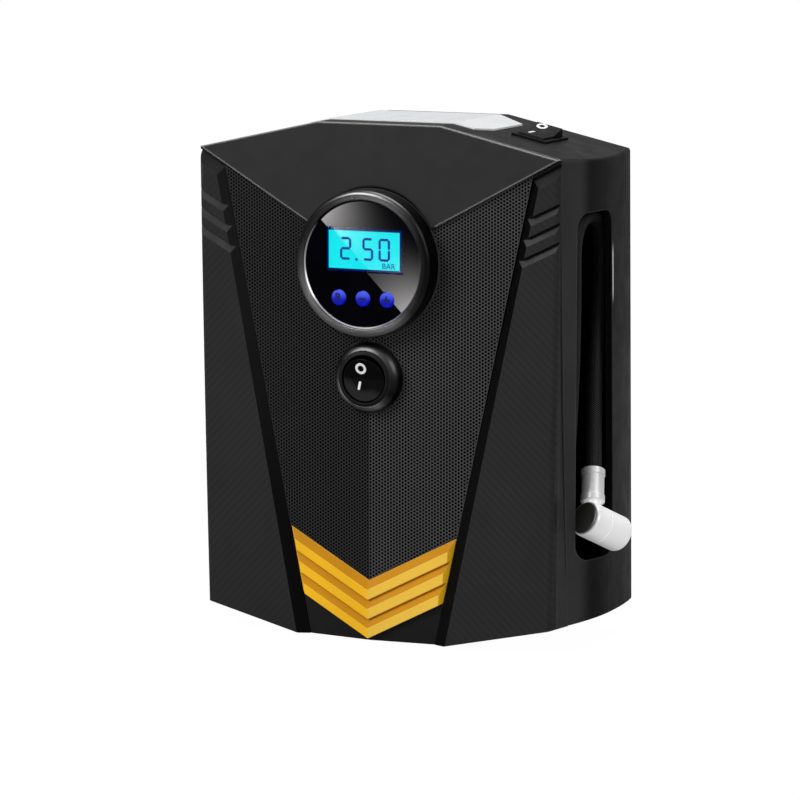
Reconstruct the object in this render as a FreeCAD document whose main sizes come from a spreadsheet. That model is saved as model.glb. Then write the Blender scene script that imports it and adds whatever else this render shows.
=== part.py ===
import FreeCAD, Part
import math
import os
import Sketcher
from FreeCAD import Vector

# Portable tyre inflator in millimetres: +Z up, front towards -Y, origin under the middle of the case.

doc = FreeCAD.newDocument("tyre_inflator")
sheet = doc.addObject("Spreadsheet::Sheet", "sizes")

# Driving dimensions. Slopes are rise over run, and names ending in Front or Back are measured
# forwards from the middle of the case.
DIMENSIONS = {
    # case envelope, seen from the front
    "caseTop": 190.0, "caseFloor": 1.0, "topFlatHalf": 24.7, "topSlope": 0.2225,
    "bottomFlatHalf": 29.5, "bottomSlope": 0.204,
    # side walls in plan: widest half width and the arcs in front of it and behind it
    "sideHalfTop": 77.3, "sideHalfBottom": 79.5, "sideWidestY": 5.0,
    "sideFrontArcTop": 70.0, "sideFrontArcBottom": 40.0, "sideRearArc": 136.0,
    "caseBackY": 38.0, "caseWall": 2.5, "edgeRounding": 1.2,
    # parting plane between the two shells, leaning back towards the floor
    "splitY": -22.6, "splitLean": 0.0311, "splitZ": 179.5,
    # front block: half widths at two depths, folded front plate, leaning brow
    "nearY": -40.0, "farY": -17.0, "nearHalfTop": 81.9, "nearHalfBottom": 63.2,
    "farHalfTop": 68.3, "farHalfBottom": 73.0, "frontWall": 3.0,
    "foldY": -31.5, "foldSlope": 0.10, "meshThickness": 1.6, "plateThickness": 2.4,
    "browY": -33.0, "browLean": 0.18, "browZ": 140.0, "browThickness": 2.4, "browEdgeSlope": 0.548,
    "tongueHalf": 28.0, "tongueThickness": 1.5, "tongueReach": 4.0,
    # wing panels
    "wingY": -35.0, "wingSlope": 0.125, "wingInnerX": 29.9, "wingInnerLean": 0.205,
    "wingTopX": 64.6, "wingTopZ": 169.3, "wingBevel": 2.4, "wingEdgeRounding": 1.8,
    "borderX": 25.5, "borderLean": 0.2122, "borderTopX": 62.0, "borderTopZ": 172.2,
    "ribSlope": 0.49, "ribDepth": 1.5, "ribShoulder": 3.2, "ribFirstZ": 150.2, "ribPitch": 6.8,
    "ribMarkX": 72.2, "ribCount": 3.0,
    # hose and cord recesses in the sides
    "recessFloorX": 49.0, "slotFrontY": -14.5, "slotRearY": 10.3, "slotBottomZ": 33.0,
    "slotTopZ": 159.5, "slotCorner": 6.0, "pocketFrontY": -15.5, "pocketRearY": 24.0,
    "pocketBottomZ": 31.0, "pocketTopZ": 162.0, "pocketWall": 2.0,
    # case posts and screws
    "postTopInset": 8.8, "postTopZ": 171.0, "postBottomInset": 16.25, "postBottomZ": 19.0,
    "postRadius": 4.2,
    "postJoinY": -13.0, "screwSeatY": -3.0, "screwHeadRadius": 2.8, "screwHeadHeight": 2.2,
    "screwRadius": 1.5, "screwClearance": 0.1, "screwLength": 14.0,
    # rear vents, feet
    "ventHalf": 24.0, "ventHeight": 3.0, "ventPitch": 7.0, "ventFirstZ": 30.0, "ventCount": 8.0,
    "footX": 20.0, "footFrontY": -8.0, "footRearY": 27.0, "footRadius": 5.0, "footPinRadius": 1.6,
    # chevron of three shingled bands
    "chevronZ": 1.9, "chevronSlope": 0.515, "chevronPitch": 7.17, "chevronRise": 2.2, "chevronCrest": 3.9,
    "chevronLip": 1.6, "chevronBevel": 1.8, "chevronBacking": 0.5, "chevronCount": 3.0,
    # gauge
    "gaugeZ": 140.1, "gaugeFront": 38.0, "bezelBack": 22.0, "bezelRadius": 26.9,
    "bezelTube": 25.7, "seatRing": 27.0, "lensRadius": 22.75, "lensFront": 36.9, "lensBack": 35.4,
    "bezelRounding": 2.0, "ledgeWidth": 0.9, "ledgeDepth": 1.0, "cupRadius": 24.2, "cupWall": 1.3,
    "cupBack": 20.0, "pillarCircle": 16.8,
    "dialThickness": 0.5, "boardThickness": 1.6, "boardFront": 29.0, "boardRadius": 22.4,
    "lcdHalfWidth": 16.5, "lcdLowZ": 136.2, "lcdHighZ": 153.7, "lcdFront": 34.9, "lcdFrame": 1.5,
    "keyRadius": 2.7, "keyPitch": 9.65, "keyZ": 127.6, "keyFront": 37.5, "keyFlange": 3.4,
    "keyFlangeThickness": 1.0, "keyTravel": 0.6, "domeHeight": 1.0,
    # power switch
    "switchZ": 98.2, "ringRadius": 13.0, "ringRounding": 4.1, "ringFront": 36.0, "flangeRadius": 10.2,
    "flangeSeat": 35.3, "flangeEdge": 35.8, "flangeFront": 36.5, "barrelRadius": 9.6, "barrelBack": 16.0,
    "wellFloor": 24.0,
    "rockerHinge": 33.6, "rockerRadius": 8.5, "rockerFace": 2.4, "rockerTilt": 0.249, "hingePin": 0.9,
    # lamp in the folded top
    "lampHalfX": 36.7, "lampFrontY": -12.2, "lampRearY": 29.5, "lampCornerX": 33.0, "lampCornerY": -3.5,
    "lampShoulderX": 24.0, "lampShoulderY": 22.5, "lampCrown": 0.5, "lampFlange": 1.5, "lampLip": 1.6,
    "trayHalfX": 31.0, "trayFrontY": -9.0, "trayRearY": 26.0, "trayFloorZ": 172.0, "trayWall": 1.5,
    "ledColumns": 5.0, "ledRows": 3.0, "ledPitchX": 10.0, "ledPitchY": 10.0, "ledSize": 3.0,
    # lamp switch on the right shoulder, in its own frame square to the slope
    "lampSwitchX": 49.5, "lampSwitchY": 9.0, "bezelWidth": 13.7, "bezelLength": 21.5, "bezelRise": 0.8,
    "bodyWidth": 12.6, "bodyLength": 20.0, "bodyDepth": 14.0, "paddleWidth": 10.2, "paddleHinge": 1.4,
    "paddleRadius": 9.0, "paddleFace": 2.9, "paddleTilt": 0.325, "wellDepth": 10.5,
    # motor and gears, motor axis along X
    "motorY": 6.0, "motorZ": 34.0, "motorRadius": 17.9, "motorFrontX": 10.0, "motorLength": 50.0,
    "motorWall": 1.4, "endCapLength": 6.0, "shaftRadius": 1.6, "shaftEndX": 26.0, "armatureRadius": 12.6,
    "magnetThickness": 3.2, "gearModule": 0.8, "gearTeeth": 48.0, "pinionTeeth": 10.0, "toothHeight": 0.65,
    "toothRoot": 0.95, "backlash": 0.3, "gearX": 17.5, "gearWidth": 7.0, "axleRadius": 3.0,
    "runningFit": 0.05, "crankRadius": 7.0, "crankPinRadius": 2.5, "crankPinLength": 3.2,
    # compressor frame, piston and cylinder
    "frameThickness": 4.0, "frameFootZ": 13.0, "frameFootHalf": 20.0, "frameTopHalf": 15.5,
    "frameFootLength": 24.0, "footThickness": 3.0, "flangeZ": 84.0, "flangeThickness": 4.0,
    "flangeEndX": 46.0, "mountX": 26.0, "mountSpread": 14.0, "mountHeight": 3.0, "mountRadius": 4.5,
    "frameScrewLength": 11.5,
    "rodX": 31.0, "rodThickness": 6.0, "rodWidth": 7.0, "bigEndRadius": 6.0, "pistonRestZ": 90.0,
    "pistonHeight": 4.6, "sealHeight": 2.4, "sealFit": 0.08, "boreRadius": 11.0, "barrelWall": 1.6,
    "finRadius": 14.3, "finThickness": 1.2, "finPitch": 3.6, "finCount": 6.0, "cylinderHeight": 24.0,
    "headHeight": 7.0, "headHalf": 14.3, "headScrewOffset": 11.4, "barbRadius": 2.2, "barbY": 16.0,
    "barbLength": 8.0, "tubeRadius": 3.5, "tubeTopZ": 141.7, "teeHalf": 5.0, "teeBottomZ": 142.0,
    "teeTopZ": 158.0,
    # air hose and its fittings
    "hoseRadius": 3.1, "outletX": 56.0, "outletY": 16.0, "outletZ": 152.0, "outletEndZ": 144.0,
    "outletRadius": 4.2, "stemRadius": 3.0, "ferruleRadius": 4.45, "ferruleStart": 7.5,
    "ferruleLength": 12.6, "crimpWidth": 2.5, "chuckRadius": 6.65, "chuckLength": 20.0,
    "chuckRounding": 1.8, "chuckPortAt": 15.4, "valveRadius": 3.9, "valveDepth": 7.5,
    "sealThickness": 2.0, "capFloor": 1.0, "spindleHead": 3.6, "spindleHeadLength": 0.8,
    # cord gland in the left recess
    "glandZ": 62.0, "glandRadius": 6.0, "glandNeck": 4.2, "glandBore": 2.6, "glandLip": 2.0,
    "glandInside": 4.0,
    # small parts
    "toothFlare": 1.35, "toothTip": 0.6, "saddleThickness": 3.0, "saddleHalf": 13.0, "bossHeight": 2.0,
    "bezelFit": 0.15, "bezelChamfer": 0.8, "bladeWidth": 4.8, "bladeSpread": 4.0, "bladeThickness": 0.8,
    "bladeLength": 8.0, "gussetHeight": 9.0, "sensorRadius": 4.0, "sensorLength": 9.0, "sensorStub": 2.0,
    "nutRadius": 6.0,
    "nutThickness": 3.0, "outletCollar": 6.2, "outletCollarLength": 1.5, "spindleRadius": 2.6,
    "neckRadius": 3.2, "sealBore": 1.2, "barbRoot": 3.3, "barbStep": 1.0, "shaftBoss": 4.8,
    "saddleFrontX": -6.7,
    "saddleRearX": -30.0, "axleHead": 4.0, "axleClip": 1.0, "axleShoulder": 5.0, "armatureTaper": 2.0,
    "headSlotDepth": 3.5, "fluteDepth": 2.0, "fluteEdge": 1.5,
    # clearances between pieces: loose, and between pieces that seat on each other
    "gap": 0.3, "seatGap": 0.1,
}


class Size:
    """A number together with the formula that gives it."""

    def __init__(self, value, text):
        self.value = float(value)
        self.text = text

    def joined(self, other, sign, value, swap=False):
        other = asSize(other)
        first, second = (other, self) if swap else (self, other)
        return Size(value, "(%s %s %s)" % (first.text, sign, second.text))

    def __add__(self, other):
        return self.joined(other, "+", self.value + asSize(other).value)

    def __radd__(self, other):
        return self.joined(other, "+", asSize(other).value + self.value, True)

    def __sub__(self, other):
        return self.joined(other, "-", self.value - asSize(other).value)

    def __rsub__(self, other):
        return self.joined(other, "-", asSize(other).value - self.value, True)

    def __mul__(self, other):
        return self.joined(other, "*", self.value * asSize(other).value)

    def __rmul__(self, other):
        return self.joined(other, "*", asSize(other).value * self.value, True)

    def __truediv__(self, other):
        return self.joined(other, "/", self.value / asSize(other).value)

    def __rtruediv__(self, other):
        return self.joined(other, "/", asSize(other).value / self.value, True)

    def __neg__(self):
        return Size(-self.value, "(-1 * %s)" % self.text)

    def __float__(self):
        return self.value


def asSize(number):
    if isinstance(number, Size):
        return number
    return Size(number, repr(float(number)) if number >= 0 else "(%r)" % float(number))


def rootOf(size):
    return Size(math.sqrt(size.value), "sqrt(%s)" % size.text)


class Sizes:
    """Attribute access to the sheet's cells, as Size objects."""

    def __init__(self, cells):
        for row, (alias, value) in enumerate(cells.items(), start=1):
            sheet.set("A%d" % row, alias)
            sheet.set("B%d" % row, repr(value))
            sheet.setAlias("B%d" % row, alias)
            setattr(self, alias, Size(value, "sizes." + alias))


s = Sizes(DIMENSIONS)
doc.recompute()


# Helpers that draw and bind

def bind(thing, prop, size):
    """Sets a property to a size and keeps it bound to the sheet."""
    size = asSize(size)
    setattr(thing, prop, size.value)
    thing.setExpression(prop, size.text)


def placeAt(thing, x=0, y=0, z=0, rotation=None):
    """Moves a piece, with each coordinate bound to the sheet."""
    x, y, z = asSize(x), asSize(y), asSize(z)
    rotation = rotation or FreeCAD.Rotation()
    thing.Placement = FreeCAD.Placement(Vector(x.value, y.value, z.value), rotation)
    for axis, size in (("x", x), ("y", y), ("z", z)):
        if "sizes." in size.text:
            thing.setExpression("Placement.Base." + axis, size.text)
    return thing


ACROSS, ALONG, UP = Vector(1, 0, 0), Vector(0, 1, 0), Vector(0, 0, 1)
FORWARD = FreeCAD.Rotation(ACROSS, 90)
RIGHT = FreeCAD.Rotation(ALONG, 90)
LEFT = FreeCAD.Rotation(ALONG, -90)


def slopeTurn(axis, slope):
    """The turn about an axis that gives a slope."""
    return FreeCAD.Rotation(axis, math.degrees(math.atan(float(slope))))


def originFeature(body, role):
    for feature in body.Origin.OriginFeatures:
        if feature.Role == role:
            return feature
    raise ValueError("no plane " + role)


def newSketch(body, role, offset=0):
    """A sketch on one of the body's own planes, moved along that plane's normal."""
    sketch = body.newObject("Sketcher::SketchObject", body.Name + "Sketch")
    sketch.AttachmentSupport = [(originFeature(body, role), "")]
    sketch.MapMode = "FlatFace"
    offset = asSize(offset)
    sketch.AttachmentOffset = FreeCAD.Placement(Vector(0, 0, offset.value), FreeCAD.Rotation())
    if "sizes." in offset.text:
        sketch.setExpression("AttachmentOffset.Base.z", offset.text)
    return sketch


def pinPoint(sketch, shape, end, x, y):
    """Holds one end of a line or arc at bound coordinates from the sketch's origin."""
    for kind, size in (("DistanceX", asSize(x)), ("DistanceY", asSize(y))):
        index = sketch.addConstraint(Sketcher.Constraint(kind, -1, 1, shape, end, size.value))
        if "sizes." in size.text:
            sketch.setExpression("Constraints[%d]" % index, size.text)


def drawPolygon(sketch, points):
    """A closed outline of straight lines through the given points."""
    corners = [Vector(float(x), float(y), 0) for x, y in points]
    first = len(sketch.Geometry)
    count = len(corners)
    lines = [Part.LineSegment(corners[i], corners[(i + 1) % count]) for i in range(count)]
    sketch.addGeometry(lines, False)
    for i, (x, y) in enumerate(points):
        pinPoint(sketch, first + i, 1, x, y)
        sketch.addConstraint(Sketcher.Constraint("Coincident", first + i, 2, first + (i + 1) % count, 1))


PLANES = {"xy": "XY_Plane", "xz": "XZ_Plane", "yz": "YZ_Plane"}


def pad(name, plane, points, start, end):
    """A prism of a straight-sided outline between two places along the axis that the plane leaves out."""
    body = doc.addObject("PartDesign::Body", name)
    start, end = asSize(start), asSize(end)
    if plane == "xz":
        start, end = -end, -start
    sketch = newSketch(body, PLANES[plane], start)
    drawPolygon(sketch, points)
    feature = body.newObject("PartDesign::Pad", name + "Pad")
    feature.Profile = sketch
    bind(feature, "Length", end - start)
    return body


def loft(name, plane, sections):
    """A ruled loft through outlines, each given with its place along the plane's axis."""
    body = doc.addObject("PartDesign::Body", name)
    sketches = []
    for place, points in sections:
        place = asSize(place)
        sketch = newSketch(body, PLANES[plane], -place if plane == "xz" else place)
        drawPolygon(sketch, points)
        sketches.append(sketch)
    feature = body.newObject("PartDesign::AdditiveLoft", name + "Loft")
    feature.Profile = sketches[0]
    feature.Sections = sketches[1:]
    feature.Ruled = True
    return body


def turned(name, points, x=0, y=0, z=0, rotation=None):
    """A turned piece: the outline gives radius and height, the axis is local Z, then it is placed."""
    body = doc.addObject("PartDesign::Body", name)
    sketch = newSketch(body, "XZ_Plane")
    drawPolygon(sketch, points)
    feature = body.newObject("PartDesign::Revolution", name + "Turn")
    feature.Profile = sketch
    feature.ReferenceAxis = (sketch, ["V_Axis"])
    feature.Angle = 360.0
    return placeAt(body, x, y, z, rotation)


def tubeProfile(inner, outer, start, end):
    return [(inner, start), (outer, start), (outer, end), (inner, end)]


def cylinder(name, radius, length, x=0, y=0, z=0, rotation=None):
    """A cylinder from a point along local Z."""
    drum = doc.addObject("Part::Cylinder", name)
    bind(drum, "Radius", radius)
    bind(drum, "Height", length)
    return placeAt(drum, x, y, z, rotation)


def box(name, x0, x1, y0, y1, z0, z1):
    block = doc.addObject("Part::Box", name)
    for prop, low, high in (("Length", x0, x1), ("Width", y0, y1), ("Height", z0, z1)):
        bind(block, prop, asSize(high) - low)
    return placeAt(block, x0, y0, z0)


def boolean(kind, name, pieces):
    thing = doc.addObject(kind, name)
    if kind == "Part::Cut":
        thing.Base, thing.Tool = pieces
    else:
        thing.Shapes = list(pieces)
    return thing


def fused(name, *pieces):
    return boolean("Part::MultiFuse", name, pieces)


def common(name, *pieces):
    return boolean("Part::MultiCommon", name, pieces)


def cut(name, base, *tools):
    tool = tools[0] if len(tools) == 1 else fused(name + "Tools", *tools)
    return boolean("Part::Cut", name, (base, tool))


def group(name, *pieces):
    """Separate solids kept together as one node."""
    bundle = doc.addObject("Part::Compound", name)
    bundle.Links = list(pieces)
    return bundle


def mirrored(name, source):
    """The same piece on the other side of the middle plane."""
    twin = doc.addObject("Part::Mirroring", name)
    twin.Source = source
    twin.Base = Vector(0, 0, 0)
    twin.Normal = ACROSS
    return twin


def rounded(name, source, radius, wanted):
    """Rounds the edges of a finished shape for which wanted(edge) holds."""
    doc.recompute()
    fillet = doc.addObject("Part::Fillet", name)
    fillet.Base = source
    numbers = [i for i, edge in enumerate(source.Shape.Edges, start=1) if wanted(edge)]
    fillet.Edges = [(i, float(radius), float(radius)) for i in numbers]
    return fillet


def toothedWheel(name, teeth, width, x, y, z, turn):
    """A spur wheel along X: a disc at the root circle and one straight-sided tooth, repeated round it."""
    pitchRadius = s.gearModule * teeth / 2
    rootRadius = pitchRadius - s.toothRoot
    tipRadius = pitchRadius + s.toothHeight
    half = s.gearModule * math.pi / 4 - s.backlash / 2
    body = doc.addObject("PartDesign::Body", name)
    disc = newSketch(body, "YZ_Plane")
    circle = disc.addGeometry(Part.Circle(Vector(), UP, rootRadius.value), False)
    disc.addConstraint(Sketcher.Constraint("Coincident", circle, 3, -1, 1))
    held = disc.addConstraint(Sketcher.Constraint("Radius", circle, rootRadius.value))
    disc.setExpression("Constraints[%d]" % held, rootRadius.text)
    blank = body.newObject("PartDesign::Pad", name + "Blank")
    blank.Profile = disc
    bind(blank, "Length", width)
    toothSketch = newSketch(body, "YZ_Plane")
    rootHalf = half * s.toothFlare
    tipHalf = half * s.toothTip
    sunk = rootRadius - s.toothRoot
    drawPolygon(toothSketch, [(-rootHalf, sunk), (rootHalf, sunk), (rootHalf, rootRadius),
                              (tipHalf, tipRadius),
                              (-tipHalf, tipRadius), (-rootHalf, rootRadius)])
    tooth = body.newObject("PartDesign::Pad", name + "Tooth")
    tooth.Profile = toothSketch
    bind(tooth, "Length", width)
    doc.recompute()
    ring = body.newObject("PartDesign::PolarPattern", name + "Teeth")
    ring.Originals = [tooth]
    ring.Axis = (originFeature(body, "X_Axis"), [""])
    ring.Angle = 360.0
    ring.Occurrences = int(teeth.value)
    ring.setExpression("Occurrences", teeth.text)
    body.Tip = ring
    return placeAt(body, x, y, z, FreeCAD.Rotation(ACROSS, turn))


EXPORTS = []


def keep(label, thing):
    """Names a finished piece for writing out."""
    thing.Label = label
    EXPORTS.append((label, thing))
    return thing


# The envelope of the case

def topZAt(x, inset=0):
    """Height of the sloping top at a half width x."""
    return s.caseTop - inset - s.topSlope * (x - s.topFlatHalf)


def floorZAt(x, inset=0):
    return s.caseFloor + inset + s.bottomSlope * (x - s.bottomFlatHalf)


def splitYAt(z):
    return s.splitY + s.splitLean * (s.splitZ - z)


def octagon(inset, halfTop, halfBottom):
    """Front outline: a flat top and bottom with sloping shoulders down to the sides."""
    right = [(s.bottomFlatHalf, s.caseFloor + inset), (halfBottom, floorZAt(halfBottom, inset)),
             (halfTop, topZAt(halfTop, inset)), (s.topFlatHalf, s.caseTop - inset)]
    return right + [(-asSize(x), z) for x, z in reversed(right)]


def addLine(sketch, first, second):
    line = Part.LineSegment(Vector(float(first[0]), float(first[1]), 0),
                            Vector(float(second[0]), float(second[1]), 0))
    index = sketch.addGeometry(line, False)
    pinPoint(sketch, index, 1, *first)
    pinPoint(sketch, index, 2, *second)


def addArc(sketch, centre, radius, first, second):
    """An arc from the first point counterclockwise to the second."""
    circle = Part.Circle(Vector(float(centre[0]), float(centre[1]), 0), UP, float(radius))
    ends = [circle.parameter(Vector(float(x), float(y), 0)) for x, y in (first, second)]
    index = sketch.addGeometry(Part.ArcOfCircle(circle, *ends), False)
    pinPoint(sketch, index, 1, *first)
    pinPoint(sketch, index, 2, *second)
    held = sketch.addConstraint(Sketcher.Constraint("Radius", index, float(radius)))
    sketch.setExpression("Constraints[%d]" % held, radius.text)


def planOutline(sketch, half, frontArc, inset, frontY):
    """Plan of the tub: each side bows in two tangent arcs, the back is flat and the front straight."""
    half = half - inset
    rearArc = s.sideRearArc - inset
    frontArc = frontArc - inset
    backY = s.caseBackY - inset
    wide = s.sideWidestY
    frontX = half - frontArc + rootOf(frontArc * frontArc - (frontY - wide) * (frontY - wide))
    backX = half - rearArc + rootOf(rearArc * rearArc - (backY - wide) * (backY - wide))
    addLine(sketch, (-frontX, frontY), (frontX, frontY))
    addArc(sketch, (half - frontArc, wide), frontArc, (frontX, frontY), (half, wide))
    addArc(sketch, (half - rearArc, wide), rearArc, (half, wide), (backX, backY))
    addLine(sketch, (backX, backY), (-backX, backY))
    addArc(sketch, (rearArc - half, wide), rearArc, (-backX, backY), (-half, wide))
    addArc(sketch, (frontArc - half, wide), frontArc, (-half, wide), (-frontX, frontY))


def tubBlock(name, inset, frontY):
    """Solid block inside the rear shell's walls, inset from its outside."""
    inset = asSize(inset)
    body = doc.addObject("PartDesign::Body", name + "Plan")
    sketches = []
    for place, half, arc in ((asSize(0), s.sideHalfBottom, s.sideFrontArcBottom),
                             (s.caseTop, s.sideHalfTop, s.sideFrontArcTop)):
        sketch = newSketch(body, "XY_Plane", place)
        planOutline(sketch, half, arc, inset, asSize(frontY))
        sketches.append(sketch)
    feature = body.newObject("PartDesign::AdditiveLoft", name + "PlanLoft")
    feature.Profile = sketches[0]
    feature.Sections = sketches[1:]
    feature.Ruled = True
    reach = s.sideHalfBottom + BEYOND
    outline = pad(name + "Outline", "xz", octagon(inset, reach, reach), frontY, s.caseBackY + BEYOND)
    return common(name, body, outline)


# How far the blocks that trim a piece reach past it, and how far a hole's tool passes the face it opens.
BEYOND = 10.0
PAST = 1.0


def frontBlock(name, inset=0):
    """Block of the whole front, wider near the top and narrower near the floor the further forward it is."""
    inset = asSize(inset)
    near = octagon(inset, s.nearHalfTop - inset, s.nearHalfBottom - inset)
    far = octagon(inset, s.farHalfTop - inset, s.farHalfBottom - inset)
    return loft(name, "xz", [(s.nearY, near), (s.farY, far)])


def behindFold(name, y, slope):
    """Everything behind a front plane that is folded along the middle."""
    reach = s.sideHalfBottom + BEYOND
    outline = [(0, y), (reach, y + slope * reach), (reach, s.caseBackY), (-reach, s.caseBackY),
               (-reach, y + slope * reach)]
    return pad(name, "xy", outline, -BEYOND, s.caseTop + BEYOND)


def behindBrow(name, y):
    """Everything behind the leaning plane of the brow."""
    reach = s.sideHalfBottom + BEYOND
    low = -BEYOND
    high = s.caseTop + BEYOND
    outline = [(y + s.browLean * (low - s.browZ), low), (s.caseBackY, low), (s.caseBackY, high),
               (y + s.browLean * (high - s.browZ), high)]
    return pad(name, "yz", outline, -reach, reach)


def aheadOfSplit(name, shift=0):
    reach = s.sideHalfBottom + BEYOND
    low = -BEYOND
    high = s.caseTop + BEYOND
    ahead = s.nearY - BEYOND
    outline = [(ahead, low), (splitYAt(low) + shift, low), (splitYAt(high) + shift, high), (ahead, high)]
    return pad(name, "yz", outline, -reach, reach)


def borderXAt(z, shift=0):
    """Half width of the mesh panel, where the wing's bevel meets it."""
    return s.borderX + s.borderLean * z + shift


def browEdgeZAt(x):
    return s.browZ + s.browEdgeSlope * x


# Screw posts, measured in from midway between the tub's side and the front block's.
POSTS = [(side * ((half + frontHalf) / 2 - inset), z) for half, frontHalf, inset, z in
         ((s.sideHalfTop, s.farHalfTop, s.postTopInset, s.postTopZ),
          (s.sideHalfBottom, s.farHalfBottom, s.postBottomInset, s.postBottomZ))
         for side in (1, -1)]


def rearPosts():
    """Screw posts from the back wall, each bored for its screw and counterbored from the back."""
    posts = []
    bores = []
    for i, (x, z) in enumerate(POSTS):
        back = s.caseBackY
        posts.append(cylinder("rearPost%d" % i, s.postRadius, back - s.caseWall / 2 - s.postJoinY, x,
                              back - s.caseWall / 2, z, FORWARD))
        bores.append(cylinder("screwWay%d" % i, s.screwRadius + s.screwClearance, back - s.postJoinY + PAST,
                              x, back, z, FORWARD))
        bores.append(cylinder("headWay%d" % i, s.screwHeadRadius + s.gap, back - s.screwSeatY + PAST, x,
                              back + PAST, z, FORWARD))
    return posts, bores


def roundedSlot(name, x0, x1, y0, y1, z0, z1, radius):
    """A slot through a side wall with round corners, for cutting."""
    tall = box(name + "Tall", x0, x1, asSize(y0) + radius, asSize(y1) - radius, z0, z1)
    wide = box(name + "Wide", x0, x1, y0, y1, asSize(z0) + radius, asSize(z1) - radius)
    corners = []
    for i, y in enumerate((asSize(y0) + radius, asSize(y1) - radius)):
        for j, z in enumerate((asSize(z0) + radius, asSize(z1) - radius)):
            corners.append(cylinder("%sCorner%d%d" % (name, i, j), radius, asSize(x1) - x0, x0, y, z,
                                    RIGHT))
    return fused(name, tall, wide, *corners)


def pocketWalls():
    """The walled pocket behind the right side's slot: its outside, trimmed by the case, and its inside."""
    reach = s.sideHalfBottom + BEYOND
    wall = s.pocketWall
    outside = box("pocketOutside", s.recessFloorX - wall, reach, s.pocketFrontY - wall,
                  s.pocketRearY + wall,
                  s.pocketBottomZ - wall, s.pocketTopZ + wall)
    inside = box("pocketInside", s.recessFloorX, reach, s.pocketFrontY, s.pocketRearY, s.pocketBottomZ,
                 s.pocketTopZ)
    slot = roundedSlot("slot", s.recessFloorX, reach, s.slotFrontY, s.slotRearY, s.slotBottomZ, s.slotTopZ,
                       s.slotCorner)
    return outside, inside, slot


def rearVents():
    """Slots for the cooling air in the back wall."""
    slots = []
    for i in range(int(s.ventCount.value)):
        z = s.ventFirstZ + s.ventPitch * i
        half = s.ventHalf - s.ventHeight / 2
        y0 = s.caseBackY - s.caseWall - PAST
        y1 = s.caseBackY + PAST
        slots.append(box("vent%d" % i, -half, half, y0, y1, z - s.ventHeight / 2, z + s.ventHeight / 2))
        for side, x in (("Left", -half), ("Right", half)):
            slots.append(cylinder("vent%d%s" % (i, side), s.ventHeight / 2, y1 - y0, x, y1, z, FORWARD))
    return slots


def lampOutline(grow=0):
    """Plan of the lamp lens: a wide hexagon with its side corners cut."""
    grow = asSize(grow)
    right = [(s.lampCornerX + grow, s.lampFrontY - grow), (s.lampHalfX + grow, s.lampCornerY - grow),
             (s.lampHalfX + grow, s.lampShoulderY + grow), (s.lampShoulderX + grow, s.lampRearY + grow)]
    return right + [(-x, y) for x, y in reversed(right)]


def lampPrism(name, grow=0):
    return pad(name, "xy", lampOutline(grow), s.trayFloorZ - BEYOND, s.caseTop + BEYOND)


def slopeBox(name, width, length, low, high):
    """A box in the lamp switch's frame: along the slope, along the case and square to the slope."""
    width, length = asSize(width), asSize(length)
    return box(name, -width / 2, width / 2, -length / 2, length / 2, low, high)


SLOPE = FreeCAD.Rotation(ALONG, math.degrees(math.atan(s.topSlope.value)))


def onSlope(thing):
    """Moves a piece from the lamp switch's own frame to its place on the right shoulder."""
    return placeAt(thing, s.lampSwitchX, s.lampSwitchY, topZAt(s.lampSwitchX), SLOPE)


def motorCradle():
    """Two saddle ribs from the floor that carry the motor."""
    ribs = []
    for i, x in enumerate((s.saddleFrontX, s.saddleRearX)):
        ribs.append(box("saddle%d" % i, x - s.saddleThickness, x, s.motorY - s.saddleHalf,
                        s.motorY + s.saddleHalf, s.caseFloor + s.caseWall / 2,
                        s.motorZ - s.motorRadius / 2))
    can = cylinder("saddleBore", s.motorRadius + s.seatGap, s.motorLength + BEYOND,
                   s.motorFrontX - s.motorLength - BEYOND / 2, s.motorY, s.motorZ, RIGHT)
    return cut("motorCradle", fused("saddles", *ribs), can)


MOUNTS = [(s.mountX, s.motorY - s.mountSpread), (s.mountX, s.motorY + s.mountSpread)]


def frameBosses():
    bosses = []
    low = s.caseFloor + s.caseWall / 2
    high = s.frameFootZ - s.mountHeight
    for i, (x, y) in enumerate(MOUNTS):
        boss = cylinder("frameBoss%d" % i, s.mountRadius, high - low, x, y, low)
        pilot = cylinder("framePilot%d" % i, s.screwRadius + s.runningFit, high, x, y,
                         s.caseFloor + s.caseWall)
        bosses.append(cut("boredBoss%d" % i, boss, pilot))
    return bosses


FEET = [(side * s.footX, y) for side in (1, -1) for y in (s.footFrontY, s.footRearY)]


def isOuterEdge(edge):
    """True for the tub's corner edges, but not for its front, its ridges or where two arcs meet."""
    first, last = (vertex.Point for vertex in (edge.Vertexes[0], edge.Vertexes[-1]))
    step = last - first
    onFront = max(first.y, last.y) < s.splitY.value
    isRidge = abs(step.x) < TINY and abs(step.z) < TINY
    isSeam = abs(step.y) < TINY and abs(first.y - s.sideWidestY.value) < TINY
    return not (onFront or isRidge or isSeam)


TINY = 0.01


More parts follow.
